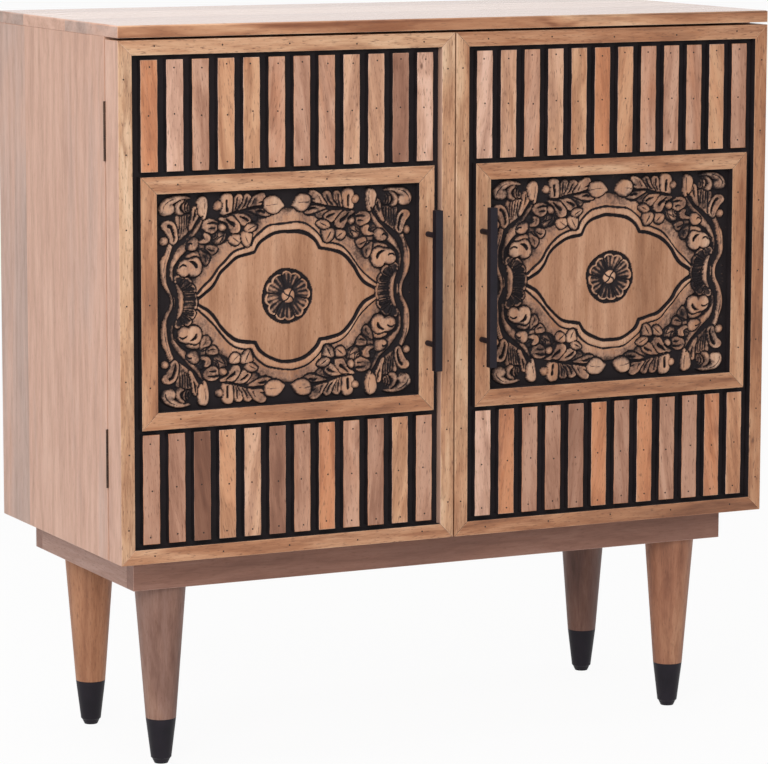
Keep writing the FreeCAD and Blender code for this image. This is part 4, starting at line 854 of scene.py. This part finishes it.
def rosette(face, x, z):
    """The flower on the field: six two-lobed petals with pale rims and dark ribs, and a crossed button."""
    far, turn = np.hypot(x, z), np.arctan2(z, x) + PETAL_TURN
    petal, lobe = math.tau / PETALS, math.tau / PETALS / 2
    off_petal = np.abs(turn % petal - petal / 2)
    off_lobe = np.abs(turn % lobe - lobe / 2)
    rim = ROSETTE_RIM - SCALLOP * (off_lobe / (lobe / 2)) ** 2.2
    within = far < ROSETTE_RADIUS + OUTLINE
    edge = rise(rim - 3.2, rim - 1.4, far) * rise(rim + 0.5, rim - 0.5, far)
    ribs = 0.5 + 0.5 * np.cos(off_lobe / lobe * 4 * math.pi)
    ribs = ribs * rise(BUTTON_RADIUS, BUTTON_RADIUS + 11, far) * rise(rim, rim - 2, far)
    seam = rise(0.5, 1.5, (petal / 2 - off_petal) * far)
    form = np.maximum(edge, (0.35 + 0.2 * ribs) * rise(rim, rim - 1.5, far)) * seam
    height = ROSETTE_FLOOR + (ROSETTE_TOP - ROSETTE_FLOOR) * form
    stain = 1 - np.maximum(edge, 0.45 * ribs + 0.2 * rise(rim, rim - 2, far)) * seam
    face.height[within] = height[within]
    face.stain[within] = stain[within]
    button = far < BUTTON_RADIUS
    dome = BUTTON_TOP * np.sqrt(np.clip(1 - (far / BUTTON_RADIUS) ** 2 * 0.75, 0, 1))
    swirl = np.abs((turn + far * 0.06 + math.pi / 4) % (math.pi / 2) - math.pi / 4) * far
    face.height[button] = dome[button] - 1.4 * rise(1.3, 0.4, swirl[button])
    foot = 0.9 * rise(BUTTON_RADIUS - 2.4, BUTTON_RADIUS, far)
    face.stain[button] = np.maximum(rise(1.4, 0.6, swirl), foot)[button]


def carved_panel(side, hand):
    """The carved panel as one closed mesh: the relief in front, a flat back, and a lap under its frame."""
    name = side + "_door_carved_panel"
    low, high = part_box(name)
    frame_boxes = {member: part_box(f"{side}_door_panel_frame_{member}") for member in PANEL_FRAME_GRAIN}
    left, right = frame_boxes["left"][1].x, frame_boxes["right"][0].x
    bottom, top = frame_boxes["bottom"][1].z, frame_boxes["top"][0].z
    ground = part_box(side + "_door_board")[0].y
    middle_x, middle_z = (left + right) / 2, (bottom + top) / 2
    columns = np.r_[low.x, np.linspace(left, right, round((right - left) / MM / GRID_STEP)), high.x]
    rows = np.r_[low.z, np.linspace(bottom, top, round((top - bottom) / MM / GRID_STEP)), high.z]
    x, z = (a.ravel() for a in np.meshgrid(columns, rows))
    height, stain = carve((x - middle_x) / MM, (z - middle_z) / MM, hand)
    wide, tall = len(columns), len(rows)
    place = np.arange(wide * tall).reshape(tall, wide)
    quads = np.stack([place[:-1, :-1], place[:-1, 1:], place[1:, 1:], place[1:, :-1]], -1).reshape(-1, 4)
    rim = np.r_[place[0, :-1], place[:-1, -1], place[-1, :0:-1], place[:0:-1, 0]]
    back = wide * tall + np.arange(len(rim))
    walls = np.stack([rim, back, np.roll(back, -1), np.roll(rim, -1)], -1)
    points = np.vstack([np.c_[x, ground - height * MM, z], np.c_[x[rim], np.full(len(rim), high.y), z[rim]]])
    mesh = bpy.data.meshes.new(name + "_relief")
    mesh.from_pydata(points.tolist(), [], [*quads.tolist(), *walls.tolist(), back[::-1].tolist()])
    stain = np.r_[stain, np.ones(len(rim))]
    mesh.attributes.new("stain", "FLOAT", "POINT").data.foreach_set("value", stain)
    grain = np.c_[points[:, 0] - middle_x, points[:, 1] + HEART_BEHIND, points[:, 2] + hand.uniform(1, 3)]
    mesh.attributes.new("grain", "FLOAT_VECTOR", "POINT").data.foreach_set("vector", grain.ravel())
    # the highest places are palest: rubbed wood, and a painted highlight on the tops of the relief
    tone = FIELD_TONE + PAINTED_HIGHLIGHT_PER_MM * np.clip(height - FIELD_TOP, 0, 2)
    tone = np.r_[tone, np.full(len(rim), FIELD_TONE)]
    mesh.attributes.new("tone", "FLOAT", "POINT").data.foreach_set("value", tone)
    mesh.shade_smooth()
    made = piece(name + "_relief", mesh, side + "_door", carved_mango)
    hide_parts(name)


for side in SIDES:
    carved_panel(side, chance)

# A pale floor that keeps a soft shadow, a white surround, and soft lamps to the left and above.
FLOOR_SIZE, FLOOR_GLOW, SURROUND_LIGHT = 60, 0.94, 0.42


def showing(tree):
    """1 for the rays that show the white background: those of the camera, of gloss and of glass."""
    path = add(tree, "LightPath")
    seen = add(tree, "Math", {0: path["Is Camera Ray"], 1: path["Is Glossy Ray"]}, operation="MAXIMUM")[0]
    return add(tree, "Math", {0: seen, 1: path["Is Transmission Ray"]}, operation="MAXIMUM")[0]


floor_mesh = bpy.data.meshes.new("floor")
corners = [(x * FLOOR_SIZE, y * FLOOR_SIZE, 0) for x, y in ((-1, -1), (1, -1), (1, 1), (-1, 1))]
floor_mesh.from_pydata(corners, [], [(0, 1, 2, 3)])
floor = bpy.data.objects.new("floor", floor_mesh)
scene.collection.objects.link(floor)
floor_paint, tree, shader = finish_named("matt_white_floor")
feed(tree, shader, {"Base Color": linear("#f4f2f1"), "Roughness": 0.9})
share = add(tree, "Math", {0: showing(tree), 1: FLOOR_GLOW}, operation="MULTIPLY")[0]
glow = add(tree, "Emission", {"Color": (1, 1, 1, 1)})[0]
blend = add(tree, "MixShader", {0: share, 1: shader.outputs[0], 2: glow})[0]
feed(tree, tree.nodes["Material Output"], {"Surface": blend})
floor_mesh.materials.append(floor_paint)

world = bpy.data.worlds.new("white_surround")
world.use_nodes = True
scene.world = world
tree = world.node_tree
strength = add(tree, "MapRange", {"Value": showing(tree), "To Min": SURROUND_LIGHT})[0]
feed(tree, tree.nodes["Background"], {"Strength": strength, "Color": (1, 1, 1, 1)})


def lamp(name, place, aim, size, power):
    """A square soft lamp at a place, turned towards another."""
    light = bpy.data.lights.new(name, "AREA")
    light.size = size
    light.energy = power
    made = bpy.data.objects.new(name, light)
    made.location = place
    made.rotation_euler = (Vector(aim) - Vector(place)).to_track_quat("-Z", "Y").to_euler()
    scene.collection.objects.link(made)


MIDDLE = (0, 0, 0.55)
lamp("key_left", (-2.4, -2.6, 2.1), MIDDLE, 1.7, 62)
lamp("top_soft", (-0.6, 0.1, 2.9), MIDDLE, 2.0, 24)
lamp("front_fill", (-0.4, -4.6, 1.8), MIDDLE, 2.4, 22)

camera = bpy.data.objects.new("camera", bpy.data.cameras.new("camera"))
scene.collection.objects.link(camera)
camera.location = (-2.1775, -4.3937, 1.1619)
camera.rotation_euler = (math.radians(90 - 8.35), math.radians(-0.11), math.radians(-26.27))
camera.data.sensor_width = 36
camera.data.lens = 179.8
scene.camera = camera
scene.view_settings.view_transform = "Standard"
